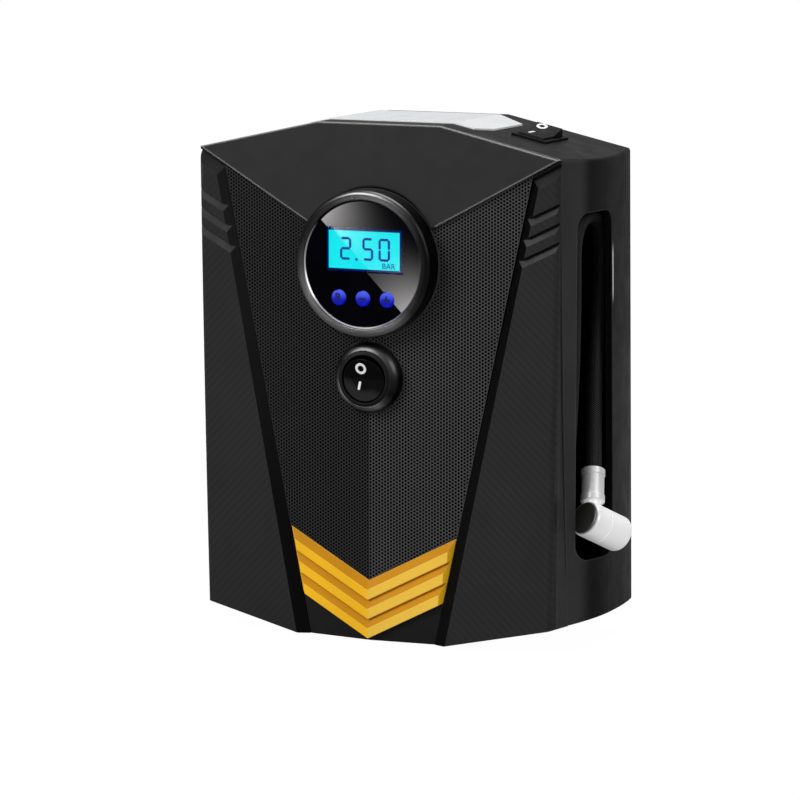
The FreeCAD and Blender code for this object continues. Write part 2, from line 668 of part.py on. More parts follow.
def rearShell():
    """Deep tub with a walled recess behind a slot in each side, posts, cradle, bosses, vents and holes."""
    outer = rounded("tubRounded", tubBlock("tubOuter", 0, splitYAt(0) - BEYOND), s.edgeRounding,
                    isOuterEdge)
    inner = tubBlock("tubInner", s.caseWall, splitYAt(0) - BEYOND - PAST)
    outside, inside, slot = pocketWalls()
    posts, bores = rearPosts()
    pocketShell = cut("pocketShell", outside, inside)
    left = mirrored("pocketShellLeft", pocketShell)
    posting = fused("rearPosts", *posts)
    structure = fused("rearStructure", pocketShell, left, posting)
    inCase = common("structureInCase", structure, tubBlock("tubTrim", s.caseWall / 2, splitYAt(0) - BEYOND))
    walls = cut("tubWalls", outer, inner)
    body = fused("tubBody", walls, inCase, motorCradle(), *frameBosses())
    slotLeft = mirrored("slotLeft", slot)
    outlet = cylinder("outletHole", s.outletRadius, 3 * s.pocketWall, s.recessFloorX - 2 * s.pocketWall,
                      s.outletY, s.outletZ, RIGHT)
    gland = cylinder("glandHole", s.glandNeck + s.seatGap, 3 * s.pocketWall, -s.recessFloorX - s.pocketWall,
                     0, s.glandZ, RIGHT)
    studs = [cylinder("studHole%d" % i, s.footPinRadius + s.runningFit, 2 * s.caseWall, x, y, 0)
             for i, (x, y) in enumerate(FEET)]
    lamp = lampPrism("lampHole", s.gap)
    switch = onSlope(group("lampSwitchHole", slopeBox("lampSwitchWay", s.bodyWidth + 2 * s.seatGap,
                                                      s.bodyLength + 2 * s.seatGap, -s.bodyDepth,
                                                      s.bodyDepth)))
    split = aheadOfSplit("rearSplit", s.seatGap)
    return cut("rearShell", body, split, slot, slotLeft, outlet, gland, lamp, switch, *studs, *bores,
               *rearVents())


def frontPosts():
    """Blind screw posts behind the front plate, meeting the rear shell's posts."""
    posts = []
    for i, (x, z) in enumerate(POSTS):
        post = cylinder("frontPost%d" % i, s.postRadius, s.postJoinY - s.nearY, x, s.postJoinY, z, FORWARD)
        depth = s.screwLength - s.screwSeatY + s.postJoinY + PAST
        pilot = cylinder("pilot%d" % i, s.screwRadius + s.runningFit, depth, x, s.postJoinY, z, FORWARD)
        posts.append(cut("boredPost%d" % i, post, pilot))
    return posts


def gaugeHole(name, radius):
    return cylinder(name, radius, -s.nearY, 0, 0, s.gaugeZ, FORWARD)


def switchHole(name, radius):
    return cylinder(name, radius, -s.nearY, 0, 0, s.switchZ, FORWARD)


def frontShell():
    """Folded plate with side walls, a seat ring for the gauge, posts and a tongue into the rear shell."""
    plateY = s.foldY + s.meshThickness
    browBack = s.browY + s.browThickness
    outer = common("frontOuter", frontBlock("frontOuterBlock"),
                   behindFold("plateFront", plateY, s.foldSlope),
                   behindBrow("plateBrow", browBack))
    inner = common("frontInner", frontBlock("frontInnerBlock", s.frontWall),
                   behindFold("plateBack", plateY + s.plateThickness, s.foldSlope),
                   behindBrow("plateBrowBack", browBack + s.plateThickness))
    plate = common("frontPlate", cut("frontHollow", outer, inner), aheadOfSplit("frontSplit"))
    posts = common("frontPostsInside", fused("frontPosts", *frontPosts()),
                   behindFold("postFold", plateY + s.plateThickness / 4, s.foldSlope),
                   behindBrow("postBrow", browBack + s.plateThickness / 4),
                   tubBlock("postTub", s.caseWall + s.gap, splitYAt(0) - BEYOND))
    seatProfile = tubeProfile(s.bezelTube + s.gap, s.seatRing, s.bezelBack, -plateY)
    seat = turned("gaugeSeat", seatProfile, 0, 0, s.gaugeZ, FORWARD)
    tongueZ = s.caseFloor + s.caseWall + s.gap
    tongue = box("tongue", -s.tongueHalf, s.tongueHalf, s.splitY, splitYAt(0) + s.tongueReach, tongueZ,
                 tongueZ + s.tongueThickness)
    holes = (gaugeHole("plateGaugeHole", s.bezelTube + s.gap),
             switchHole("plateSwitchHole", s.barrelRadius + s.gap))
    return cut("frontShell", fused("frontBody", plate, posts, seat, tongue), *holes)


def ribNotch(name, z):
    """A notch across the wing: a steep step under the block above and a gentle shoulder below."""
    lean = 1 / rootOf(1 + s.ribSlope * s.ribSlope)
    drop = s.ribShoulder * lean
    outline = [(-s.ribDepth, 0), (s.ribDepth, 0), (0, -drop), (-s.ribDepth, -drop)]
    half = s.sideHalfBottom
    tool = pad(name, "yz", outline, -half, half)
    placeAt(tool, s.ribMarkX, 0, z, slopeTurn(ALONG, -s.ribSlope))
    return tool


def isWingEdge(edge):
    """True for the long edge between the wing's face and the side of the front block."""
    first, last = (vertex.Point for vertex in (edge.Vertexes[0], edge.Vertexes[-1]))
    offsets = [abs(point.y - s.wingY.value - s.wingSlope.value * point.x) for point in (first, last)]
    return max(offsets) < TINY and min(first.x, last.x) > s.wingTopX.value + TINY


def wingPanel():
    """Right wing: a raised panel with a bevelled inner edge, a rounded outer edge and rib notches."""
    stretch = rootOf(1 + s.wingSlope * s.wingSlope)
    reach = s.sideHalfBottom + BEYOND
    low = -BEYOND
    face = [(stretch * (s.wingInnerX + s.wingInnerLean * low), low), (stretch * reach, low),
            (stretch * reach, s.wingTopZ + s.browEdgeSlope * (reach - s.wingTopX)),
            (stretch * s.wingTopX, s.wingTopZ)]
    foot = [(stretch * borderXAt(low), low), (stretch * reach, low),
            (stretch * reach, s.borderTopZ + s.browEdgeSlope * (reach - s.borderTopX)),
            (stretch * s.borderTopX, s.borderTopZ)]
    bevelled = loft("wingBevelled", "xz", [(0, face), (s.wingBevel, foot)])
    backing = pad("wingBacking", "xz", foot, s.wingBevel, s.wingBevel + BEYOND)
    slab = placeAt(fused("wingSlab", bevelled, backing), 0, s.wingY, 0, slopeTurn(UP, s.wingSlope))
    smooth = rounded("wingRounded", common("wingBlank", slab, frontBlock("wingBlock")), s.wingEdgeRounding,
                     isWingEdge)
    ribs = [ribNotch("ribNotch%d" % i, s.ribFirstZ + s.ribPitch * i) for i in range(int(s.ribCount.value))]
    notches = placeAt(group("ribNotches", *ribs), 0, s.wingY, 0, slopeTurn(UP, s.wingSlope))
    trimmed = common("wingTrimmed", cut("wingNotched", smooth, notches), aheadOfSplit("wingSplit"))
    plateY = s.foldY + s.meshThickness
    return cut("wing", trimmed, behindFold("wingPlate", plateY, s.foldSlope))


def meshPanel():
    """Folded sheet between the wings, from the nose at the floor up to the brow's edge."""
    low = -BEYOND
    wide = s.sideHalfBottom
    outline = [(borderXAt(low, -2 * s.gap), low), (s.borderTopX - 2 * s.gap, s.borderTopZ + s.gap),
               (wide, s.borderTopZ + s.gap + s.browEdgeSlope * (wide - s.borderTopX)),
               (wide, browEdgeZAt(wide) - s.gap), (0, s.browZ - s.gap)]
    outline = outline + [(-x, z) for x, z in reversed(outline[:-1])]
    prism = pad("meshOutline", "xz", outline, s.nearY, 0)
    sheetBlock = common("meshBlock", prism, frontBlock("meshTrim"),
                        behindFold("meshFront", s.foldY, s.foldSlope),
                        behindBrow("meshBrow", s.browY), aheadOfSplit("meshSplit"))
    plateY = s.foldY + s.meshThickness
    return cut("mesh", sheetBlock, behindFold("meshBack", plateY, s.foldSlope),
               gaugeHole("meshGaugeHole", s.seatRing + s.gap),
               switchHole("meshSwitchHole", s.ringRadius + s.gap))


def browCover():
    """Leaning plate above the V edge, up to the top of the case."""
    reach = s.sideHalfBottom + BEYOND
    high = s.caseTop + 2 * BEYOND
    outline = [(0, s.browZ), (reach, browEdgeZAt(reach)), (reach, high), (-reach, high),
               (-reach, browEdgeZAt(reach))]
    block = common("browBlock", pad("browOutline", "xz", outline, s.nearY, 0), frontBlock("browTrim"),
                   behindBrow("browFront", s.browY), aheadOfSplit("browSplit"))
    return cut("brow", block, behindBrow("browBack", s.browY + s.browThickness),
               gaugeHole("browGaugeHole", s.seatRing + s.gap))


def chevronTrim():
    """Three shingled bands in a V on one backing, with lit lower faces and chamfered outer ends."""
    stretch = rootOf(1 + s.foldSlope * s.foldSlope)
    lean = 1 / rootOf(1 + s.chevronSlope * s.chevronSlope)
    bands = []
    for i in range(int(s.chevronCount.value)):
        z = s.chevronZ + s.chevronPitch * (s.chevronCount - 1 - i)
        section = [(0, 0), (-s.chevronLip, 0), (-s.chevronRise, s.chevronCrest * lean),
                   (-s.chevronBacking, s.chevronPitch * lean), (0, s.chevronPitch * lean)]
        band = pad("band%d" % i, "yz", section, -BEYOND, s.sideHalfTop)
        bands.append(placeAt(band, 0, 0, z, slopeTurn(ALONG, -s.chevronSlope)))
    ends = []
    for depth in (asSize(0), -s.chevronRise):
        inwards = s.chevronBevel * depth / s.chevronRise - 2 * s.gap
        ends.append((depth, [(-BEYOND, 0), (stretch * borderXAt(0, inwards), 0),
                             (stretch * borderXAt(s.switchZ, inwards), s.switchZ), (-BEYOND, s.switchZ)]))
    half = common("chevronHalf", fused("chevronBands", *bands), loft("chevronEnds", "xz", ends))
    placeAt(half, 0, s.foldY, 0, slopeTurn(UP, s.foldSlope))
    side = box("chevronSide", 0, s.sideHalfTop, s.nearY, 0, 0, s.gaugeZ)
    right = common("chevronRight", half, side)
    return fused("chevron", right, mirrored("chevronLeft", right))


# Gauge: everything is turned about one axis that points forwards

def facing(name, points, z):
    return turned(name, points, 0, 0, z, FORWARD)


def isFrontRim(radius, front):
    """A test for the rim of a turned piece that faces forwards, told by its radius and its place."""
    def wanted(edge):
        size = edge.BoundBox
        flat = abs(size.YMin + float(front)) < TINY and size.YLength < TINY
        return flat and abs(size.XLength - 2 * float(radius)) < TINY
    return wanted


def gaugePieces():
    bezelInner = s.lensRadius + s.bezelFit
    ledge = s.lensRadius - s.ledgeWidth
    ledgeBack = s.lensBack - s.ledgeDepth
    tubeInner = s.cupRadius + s.seatGap
    shoulder = -(s.foldY + s.meshThickness)
    profile = [(bezelInner, s.gaugeFront - s.bezelChamfer), (bezelInner + s.bezelChamfer, s.gaugeFront),
               (s.bezelRadius, s.gaugeFront), (s.bezelRadius, shoulder), (s.bezelTube, shoulder),
               (s.bezelTube, s.bezelBack), (tubeInner, s.bezelBack), (tubeInner, ledgeBack),
               (ledge, ledgeBack),
               (ledge, s.lensBack), (bezelInner, s.lensBack)]
    keep("gauge_bezel", rounded("gaugeBezel", facing("bezelTurned", profile, s.gaugeZ), s.bezelRounding,
                                isFrontRim(s.bezelRadius, s.gaugeFront)))
    lens = facing("lensDisc", tubeProfile(0, s.lensRadius, s.lensBack, s.lensFront), s.gaugeZ)
    keep("gauge_lens", cut("gaugeLens", lens, *keyDrills("lensDrill", s.keyRadius + s.gap)))
    cupInner = s.cupRadius - s.cupWall
    floor = s.cupBack + s.cupWall
    cup = facing("cupShell", [(0, s.cupBack), (s.cupRadius, s.cupBack), (s.cupRadius, ledgeBack),
                              (cupInner, ledgeBack), (cupInner, floor), (0, floor)], s.gaugeZ)
    boardBack = s.boardFront - s.boardThickness
    pillars = []
    for i in range(3):
        angle = math.radians(90 + 120 * i)
        pillars.append(cylinder("cupPillar%d" % i, s.cupWall, boardBack - s.cupBack,
                                math.cos(angle) * s.pillarCircle, -s.cupBack,
                                s.gaugeZ + math.sin(angle) * s.pillarCircle, FORWARD))
    keep("gauge_cup", fused("gaugeCup", cup, *pillars))
    dial = facing("dialDisc", tubeProfile(0, cupInner - s.seatGap, ledgeBack - s.dialThickness, ledgeBack),
                  s.gaugeZ)
    window = box("dialWindow", -s.lcdHalfWidth - s.seatGap, s.lcdHalfWidth + s.seatGap, s.nearY, 0,
                 s.lcdLowZ - s.seatGap, s.lcdHighZ + s.seatGap)
    keep("gauge_dial", cut("gaugeDial", dial, window, *keyDrills("dialDrill", s.keyRadius + s.gap)))
    board = facing("boardDisc", tubeProfile(0, s.boardRadius, boardBack, s.boardFront), s.gaugeZ)
    domes = [cylinder("dome%d" % i, s.keyRadius / 2, s.domeHeight, x, -s.boardFront, s.keyZ, FORWARD)
             for i, x in enumerate(KEYS_X)]
    keep("display_board", fused("displayBoard", board, *domes))
    glass = box("lcdFrame", -s.lcdHalfWidth, s.lcdHalfWidth, -s.lcdFront, s.lcdFrame - s.lcdFront,
                s.lcdLowZ,
                s.lcdHighZ)
    light = box("lcdLight", s.lcdFrame - s.lcdHalfWidth, s.lcdHalfWidth - s.lcdFrame,
                s.lcdFrame - s.lcdFront,
                -s.boardFront, s.lcdLowZ + s.lcdFrame, s.lcdHighZ - s.lcdFrame)
    keep("lcd_module", fused("lcdModule", glass, light))


KEYS_X = (-s.keyPitch, asSize(0), s.keyPitch)


def keyDrills(name, radius):
    return [cylinder("%s%d" % (name, i), radius, -s.nearY, x, 0, s.keyZ, FORWARD)
            for i, x in enumerate(KEYS_X)]


def keyPieces():
    """Three sprung keys, each with a flange that the dial keeps in."""
    back = s.boardFront + s.domeHeight + s.keyTravel + s.gap / 2
    edge = s.keyRadius - s.gap
    for label, x in zip(("key_reset", "key_minus", "key_plus"), KEYS_X):
        flange = back + s.keyFlangeThickness
        profile = [(0, back), (s.keyFlange, back), (s.keyFlange, flange), (s.keyRadius, flange),
                   (s.keyRadius, s.keyFront - s.gap), (edge, s.keyFront), (0, s.keyFront)]
        keep(label, turned(label.replace("_", ""), profile, x, 0, s.keyZ, FORWARD))


def powerSwitch():
    """Round rocker switch in a domed ring: the lower half is pressed, the upper half stands out."""
    hole = s.barrelRadius + s.seatGap
    base = -(s.foldY + s.meshThickness)
    disc = facing("ringDisc", tubeProfile(0, s.ringRadius, base, s.ringFront), s.switchZ)
    dome = rounded("ringDome", disc, s.ringRounding, isFrontRim(s.ringRadius, s.ringFront))
    seat = s.flangeRadius + s.seatGap
    bore = [(0, base - PAST), (hole, base - PAST), (hole, s.flangeSeat), (seat, s.flangeSeat),
            (seat, s.ringFront + PAST), (0, s.ringFront + PAST)]
    keep("power_switch_ring", cut("switchRing", dome, facing("ringBore", bore, s.switchZ)))
    well = s.rockerRadius + s.gap
    profile = [(0, s.barrelBack), (s.barrelRadius, s.barrelBack), (s.barrelRadius, s.flangeSeat),
               (s.flangeRadius, s.flangeSeat), (s.flangeRadius, s.flangeEdge),
               (well + s.gap, s.flangeFront),
               (well, s.flangeFront), (well, s.wellFloor), (0, s.wellFloor)]
    pinWay = cylinder("rockerPinWay", s.hingePin + s.runningFit, 2 * s.barrelRadius + PAST,
                      -s.barrelRadius - PAST / 2, -s.rockerHinge, s.switchZ, RIGHT)
    keep("power_switch_body", cut("switchBody", facing("switchBarrel", profile, s.switchZ), pinWay))
    radius = s.rockerRadius
    sphere = doc.addObject("Part::Sphere", "rockerSphere")
    bind(sphere, "Radius", radius)
    placeAt(sphere, 0, -s.rockerHinge, s.switchZ)
    face = -s.rockerHinge - s.rockerFace
    reach = radius + PAST
    back = radius / 2 - s.rockerHinge
    outline = [(face, s.switchZ - reach), (face, s.switchZ),
               (face - s.rockerTilt * reach, s.switchZ + reach),
               (back, s.switchZ + reach), (back, s.switchZ - reach)]
    paddle = common("rockerPaddle", sphere, pad("rockerPrism", "yz", outline, -reach, reach))
    pin = cylinder("rockerPin", s.hingePin, 2 * s.barrelRadius - s.gap, s.gap / 2 - s.barrelRadius,
                   -s.rockerHinge,
                   s.switchZ, RIGHT)
    keep("power_rocker", fused("powerRocker", paddle, pin))


def lampPieces():
    """Lens in the folded top, a tray of light under it and its board of diodes."""
    reach = s.sideHalfTop
    skin = pad("lensSkin", "xz", octagon(-s.lampCrown, reach, reach), s.nearY, s.caseBackY)
    under = pad("lensUnder", "xz", octagon(s.caseWall, reach, reach), s.nearY, s.caseBackY + PAST)
    low = pad("lensLow", "xz", octagon(s.caseWall + s.lampFlange, reach, reach), s.nearY,
              s.caseBackY + 2 * PAST)
    window = common("lensWindow", lampPrism("lensPlan"), skin)
    flange = common("lensFlange", lampPrism("flangePlan", s.lampLip), under)
    keep("lamp_lens", cut("lampLens", fused("lensBlock", window, flange), low))
    wall = s.trayWall
    tray = box("trayOutside", -s.trayHalfX, s.trayHalfX, s.trayFrontY, s.trayRearY, s.trayFloorZ, s.caseTop)
    hollow = box("trayInside", wall - s.trayHalfX, s.trayHalfX - wall, s.trayFrontY + wall,
                 s.trayRearY - wall,
                 s.trayFloorZ + wall, s.caseTop + PAST)
    roof = pad("trayRoof", "xz", octagon(s.caseWall + s.lampFlange, reach, reach), s.nearY,
               s.caseBackY + PAST)
    keep("lamp_tray", common("lampTray", cut("trayWalls", tray, hollow), roof))
    floor = s.trayFloorZ + wall
    gap = wall + s.gap
    board = box("ledBoard", gap - s.trayHalfX, s.trayHalfX - gap, s.trayFrontY + gap, s.trayRearY - gap,
                floor,
                floor + s.boardThickness)
    middleY = (s.trayFrontY + s.trayRearY) / 2
    diodes = []
    for i in range(int(s.ledColumns.value)):
        for j in range(int(s.ledRows.value)):
            x = s.ledPitchX * (i - (s.ledColumns - 1) / 2)
            y = middleY + s.ledPitchY * (j - (s.ledRows - 1) / 2)
            half = s.ledSize / 2
            diodes.append(box("diode%d%d" % (i, j), x - half, x + half, y - half, y + half,
                              floor + s.boardThickness,
                              floor + s.boardThickness + s.ledSize / 2))
    keep("lamp_board", fused("lampBoard", board, *diodes))


def lampSwitch():
    """Rectangular rocker switch square to the slope, its rear end raised."""
    width = s.paddleWidth + 2 * s.gap
    length = 2 * (s.paddleRadius + s.gap)
    bezel = slopeBox("lampBezel", s.bezelWidth, s.bezelLength, 0, s.bezelRise)
    barrel = slopeBox("lampBarrel", s.bodyWidth, s.bodyLength, -s.bodyDepth, 0)
    well = slopeBox("lampWell", width, length, s.bezelRise - s.wellDepth, s.bezelRise + PAST)
    pinWay = cylinder("lampPinWay", s.hingePin + s.runningFit, s.bodyWidth + PAST,
                      -(s.bodyWidth + PAST) / 2, 0, -s.paddleHinge, RIGHT)
    keep("lamp_switch_body", onSlope(cut("lampSwitchBody", fused("lampSwitchBlock", bezel, barrel), well,
                                         pinWay)))
    radius = s.paddleRadius
    reach = radius + PAST
    face = s.paddleFace - s.paddleHinge
    outline = [(-reach, face), (0, face), (reach, face + s.paddleTilt * reach),
               (reach, -s.paddleHinge - radius / 2),
               (-reach, -s.paddleHinge - radius / 2)]
    half = s.paddleWidth / 2
    drum = cylinder("paddleDrum", radius, s.paddleWidth, -half, 0, -s.paddleHinge, RIGHT)
    paddle = common("lampPaddle", drum, pad("paddlePrism", "yz", outline, -half, half))
    pin = cylinder("paddlePin", s.hingePin, s.bodyWidth - s.gap, (s.gap - s.bodyWidth) / 2, 0,
                   -s.paddleHinge,
                   RIGHT)
    keep("lamp_rocker", onSlope(fused("lampRocker", paddle, pin)))


def terminals():
    """Flat terminals at the back of both switches."""
    blades = []
    half = s.bladeWidth / 2
    for i, x in enumerate((-s.bladeSpread, s.bladeSpread)):
        blades.append(box("powerBlade%d" % i, x - s.bladeThickness / 2, x + s.bladeThickness / 2,
                          -s.barrelBack,
                          s.bladeLength - s.barrelBack, s.switchZ - half, s.switchZ + half))
        blade = box("lampBlade%d" % i, -half, half, x - s.bladeThickness / 2, x + s.bladeThickness / 2,
                    -s.bodyDepth - s.bladeLength / 2, -s.bodyDepth)
        blades.append(onSlope(group("lampBladeSeat%d" % i, blade)))
    keep("switch_terminals", group("switchTerminals", *blades))


def caseScrews():
    """Four screws from the back, heads seated deep in the rear posts."""
    screws = []
    for i, (x, z) in enumerate(POSTS):
        head = s.screwHeadHeight
        profile = [(0, 0), (s.screwRadius, 0), (s.screwRadius, s.screwLength),
                   (s.screwHeadRadius, s.screwLength),
                   (s.screwHeadRadius, s.screwLength + head), (0, s.screwLength + head)]
        screws.append(turned("caseScrew%d" % i, profile, x, s.screwSeatY - s.screwLength, z, BACKWARD))
    keep("case_screws", group("caseScrews", *screws))


BACKWARD = FreeCAD.Rotation(ACROSS, -90)


def feet():
    pads = []
    for i, (x, y) in enumerate(FEET):
        edge = s.footRadius - s.gap
        top = s.caseFloor + s.caseWall
        profile = [(0, 0), (edge, 0), (s.footRadius, s.gap), (s.footRadius, s.caseFloor),
                   (s.footPinRadius, s.caseFloor), (s.footPinRadius, top), (0, top)]
        pads.append(turned("foot%d" % i, profile, x, y, 0))
    keep("rubber_feet", group("rubberFeet", *pads))


def cordGland():
    """Bushing for the power lead in the left recess's floor; it points out of the case."""
    wall = s.recessFloorX - s.pocketWall
    face = s.glandInside + s.pocketWall
    profile = [(s.glandBore, 0), (s.glandNeck, 0), (s.glandNeck, face), (s.glandRadius, face),
               (s.glandRadius, face + s.glandLip / 2), (s.glandNeck, face + s.glandLip),
               (s.glandBore, face + s.glandLip)]
    keep("cord_gland", turned("cordGland", profile, s.glandInside - wall, 0, s.glandZ, LEFT))


# Motor and compressor

def motorPieces():
    """Can with its magnets, end cap, and the rotor with its pinion."""
    back = s.motorFrontX - s.motorLength
    inner = s.motorRadius - s.motorWall
    shaft = s.shaftRadius + s.runningFit
    boss = s.shaftBoss
    length = s.motorLength
    can = [(inner, 0), (s.motorRadius, 0), (s.motorRadius, length), (boss, length),
           (boss, length + s.bossHeight),
           (shaft, length + s.bossHeight), (shaft, length - s.motorWall), (inner, length - s.motorWall)]
    keep("motor_can", turned("motorCan", can, back, s.motorY, s.motorZ, RIGHT))
    step = s.endCapLength - s.motorWall
    cap = [(shaft, 0), (boss, 0), (boss, s.bossHeight), (s.motorRadius, s.bossHeight),
           (s.motorRadius, s.endCapLength), (inner - s.motorWall, s.endCapLength),
           (inner - s.motorWall, step),
           (shaft, step)]
    keep("motor_end_cap", turned("motorEndCap", cap, back - s.endCapLength, s.motorY, s.motorZ, RIGHT))
    magnetInner = inner - s.magnetThickness
    ring = turned("magnetRing", tubeProfile(magnetInner, inner, s.endCapLength, length - s.endCapLength),
                  back,
                  s.motorY, s.motorZ, RIGHT)
    halfGap = s.magnetThickness / 2
    gapBlock = box("magnetGap", back, s.motorFrontX, s.motorY - halfGap, s.motorY + halfGap,
                   s.motorZ - s.motorRadius, s.motorZ + s.motorRadius)
    keep("motor_magnets", cut("motorMagnets", ring, gapBlock))
    start = -s.endCapLength
    commutator = s.armatureRadius / 2
    rotor = [(0, start), (s.shaftRadius, start), (s.shaftRadius, s.motorWall), (commutator, s.motorWall),
             (commutator, s.endCapLength), (s.armatureRadius, s.endCapLength + s.armatureTaper),
             (s.armatureRadius, length - s.endCapLength - s.armatureTaper),
             (s.shaftRadius, length - s.endCapLength),
             (s.shaftRadius, s.shaftEndX - back), (0, s.shaftEndX - back)]
    keep("motor_rotor", turned("motorRotor", rotor, back, s.motorY, s.motorZ, RIGHT))
    width = s.gearWidth + 2 * s.gap
    pinion = toothedWheel("pinionBlank", s.pinionTeeth, width, s.gearX - s.gap, s.motorY, s.motorZ,
                          180 / s.pinionTeeth.value)
    bore = cylinder("pinionBore", s.shaftRadius, width + 2 * PAST, s.gearX - PAST, s.motorY, s.motorZ,
                    RIGHT)
    keep("motor_pinion", cut("motorPinion", pinion, bore))


def crankZ():
    """Height of the gear's axle: the motor's plus both pitch radii."""
    return s.motorZ + s.gearModule * (s.gearTeeth + s.pinionTeeth) / 2


def crankPieces():
    """Large gear on a fixed axle, with the crank pin on its front face."""
    wheel = toothedWheel("gearBlank", s.gearTeeth, s.gearWidth, s.gearX, s.motorY, crankZ(), 0)
    pitchRadius = s.gearModule * s.gearTeeth / 2
    hub = s.axleRadius * 2
    groove = turned("gearGroove", tubeProfile(hub, pitchRadius - 3 * s.toothRoot, 0, s.gearWidth / 2),
                    s.gearX,
                    s.motorY, crankZ(), RIGHT)
    bore = cylinder("gearBore", s.axleRadius + s.runningFit, s.gearWidth + 2 * PAST, s.gearX - PAST,
                    s.motorY,
                    crankZ(), RIGHT)
    pin = cylinder("crankPin", s.crankPinRadius, s.crankPinLength + PAST, s.gearX + s.gearWidth - PAST,
                   s.motorY, crankZ() - s.crankRadius, RIGHT)
    keep("crank_gear", fused("crankGear", cut("gearWheel", wheel, groove, bore), pin))
    start = s.motorFrontX
    collar = s.gearX - s.gap - start
    end = s.gearX + s.gearWidth - start
    clip = end + s.axleClip
    axle = [(0, 0), (s.axleRadius, 0), (s.axleRadius, s.frameThickness), (s.axleShoulder, s.frameThickness),
            (s.axleShoulder, collar), (s.axleRadius, collar), (s.axleRadius, end + s.gap),
            (s.axleHead, end + s.gap), (s.axleHead, clip), (0, clip)]
    keep("gear_axle", turned("gearAxle", axle, start, s.motorY, crankZ(), RIGHT))


def compressorFrame():
    """Plate that carries the motor and the gear, with a foot and a flange for the cylinder."""
    x0 = s.motorFrontX
    x1 = x0 + s.frameThickness
    y = s.motorY
    top = s.flangeZ + s.flangeThickness
    outline = [(y - s.frameFootHalf, s.frameFootZ), (y + s.frameFootHalf, s.frameFootZ),
               (y + s.frameTopHalf, top), (y - s.frameTopHalf, top)]
    plate = pad("framePlate", "yz", outline, x0, x1)
    foot = box("frameFoot", x0, x0 + s.frameFootLength, y - s.frameFootHalf, y + s.frameFootHalf,
               s.frameFootZ,
               s.frameFootZ + s.footThickness)
    flange = box("frameFlange", x0, s.flangeEndX, y - s.frameTopHalf, y + s.frameTopHalf, s.flangeZ, top)
    gussets = []
    for i, side in enumerate((y - s.frameTopHalf, y + s.frameTopHalf - s.footThickness)):
        web = [(x1 - PAST, s.flangeZ), (s.rodX, s.flangeZ), (x1 - PAST, s.flangeZ - s.gussetHeight)]
        gussets.append(pad("gusset%d" % i, "xz", web, side, side + s.footThickness))
    through = s.frameThickness + 2 * PAST
    deep = s.flangeThickness + 2 * PAST
    under = s.flangeZ - PAST
    holes = [cylinder("motorBossHole", s.shaftBoss + s.seatGap, through, x0 - PAST, y, s.motorZ, RIGHT),
             cylinder("axleHole", s.axleRadius + s.runningFit / 2, through, x0 - PAST, y, crankZ(), RIGHT),
             cylinder("skirtHole", s.boreRadius + s.gap, deep, s.rodX, y, under)]
    for i, (sx, sy) in enumerate(HEAD_SCREWS):
        holes.append(cylinder("tieHole%d" % i, s.screwRadius + s.runningFit, deep, sx, sy, under))
    for i, (mx, my) in enumerate(MOUNTS):
        holes.append(cylinder("footHole%d" % i, s.screwRadius + s.seatGap, s.footThickness + 2 * PAST, mx,
                              my,
                              s.frameFootZ - PAST))
    keep("compressor_frame", cut("compressorFrame", fused("frameBlock", plate, foot, flange, *gussets),
                                 *holes))


HEAD_SCREWS = [(s.rodX + i * s.headScrewOffset, s.motorY + j * s.headScrewOffset)
               for i in (-1, 1) for j in (-1, 1)]


def pistonPieces():
    """Connecting rod with its eye and the piston in one piece, and the cup seal on top."""
    x, y = s.rodX, s.motorY
    eyeZ = crankZ() - s.crankRadius
    half = s.rodThickness / 2
    eye = cylinder("bigEnd", s.bigEndRadius, s.rodThickness, x - half, y, eyeZ, RIGHT)
    shank = box("rodShank", x - half, x + half, y - s.rodWidth / 2, y + s.rodWidth / 2,
                eyeZ + s.crankPinRadius,
                s.pistonRestZ + PAST)
    side = s.rodWidth / 2 - s.fluteEdge
    flutes = [box("rodFlute%d" % i, x0, x0 + s.fluteDepth, y - side, y + side, eyeZ + s.bigEndRadius + PAST,
                  s.pistonRestZ - s.fluteEdge) for i, x0 in enumerate((x - half, x + half - s.fluteDepth))]
    skirt = s.boreRadius - s.gap
    step = s.boreRadius / 2
    face = s.pistonHeight + s.sealHeight / 2
    profile = [(0, 0), (skirt, 0), (skirt, s.pistonHeight), (step, s.pistonHeight), (step, face), (0, face)]
    crown = turned("pistonCrown", profile, x, y, s.pistonRestZ)
    bore = cylinder("bigEndBore", s.crankPinRadius + s.gap, s.rodThickness + 2 * PAST, x - half - PAST, y,
                    eyeZ,
                    RIGHT)
    keep("piston_rod", cut("pistonRod", fused("rodBlock", eye, shank, crown), bore, *flutes))
    inner = s.boreRadius / 2
    outer = s.boreRadius - s.sealFit
    seal = [(inner, 0), (outer, 0), (outer, s.sealHeight), (outer - s.cupWall, s.sealHeight),
            (outer - s.cupWall, s.sealHeight / 2), (inner, s.sealHeight / 2)]
    keep("piston_cup_seal", turned("pistonCupSeal", seal, x, y, s.pistonRestZ + s.pistonHeight))


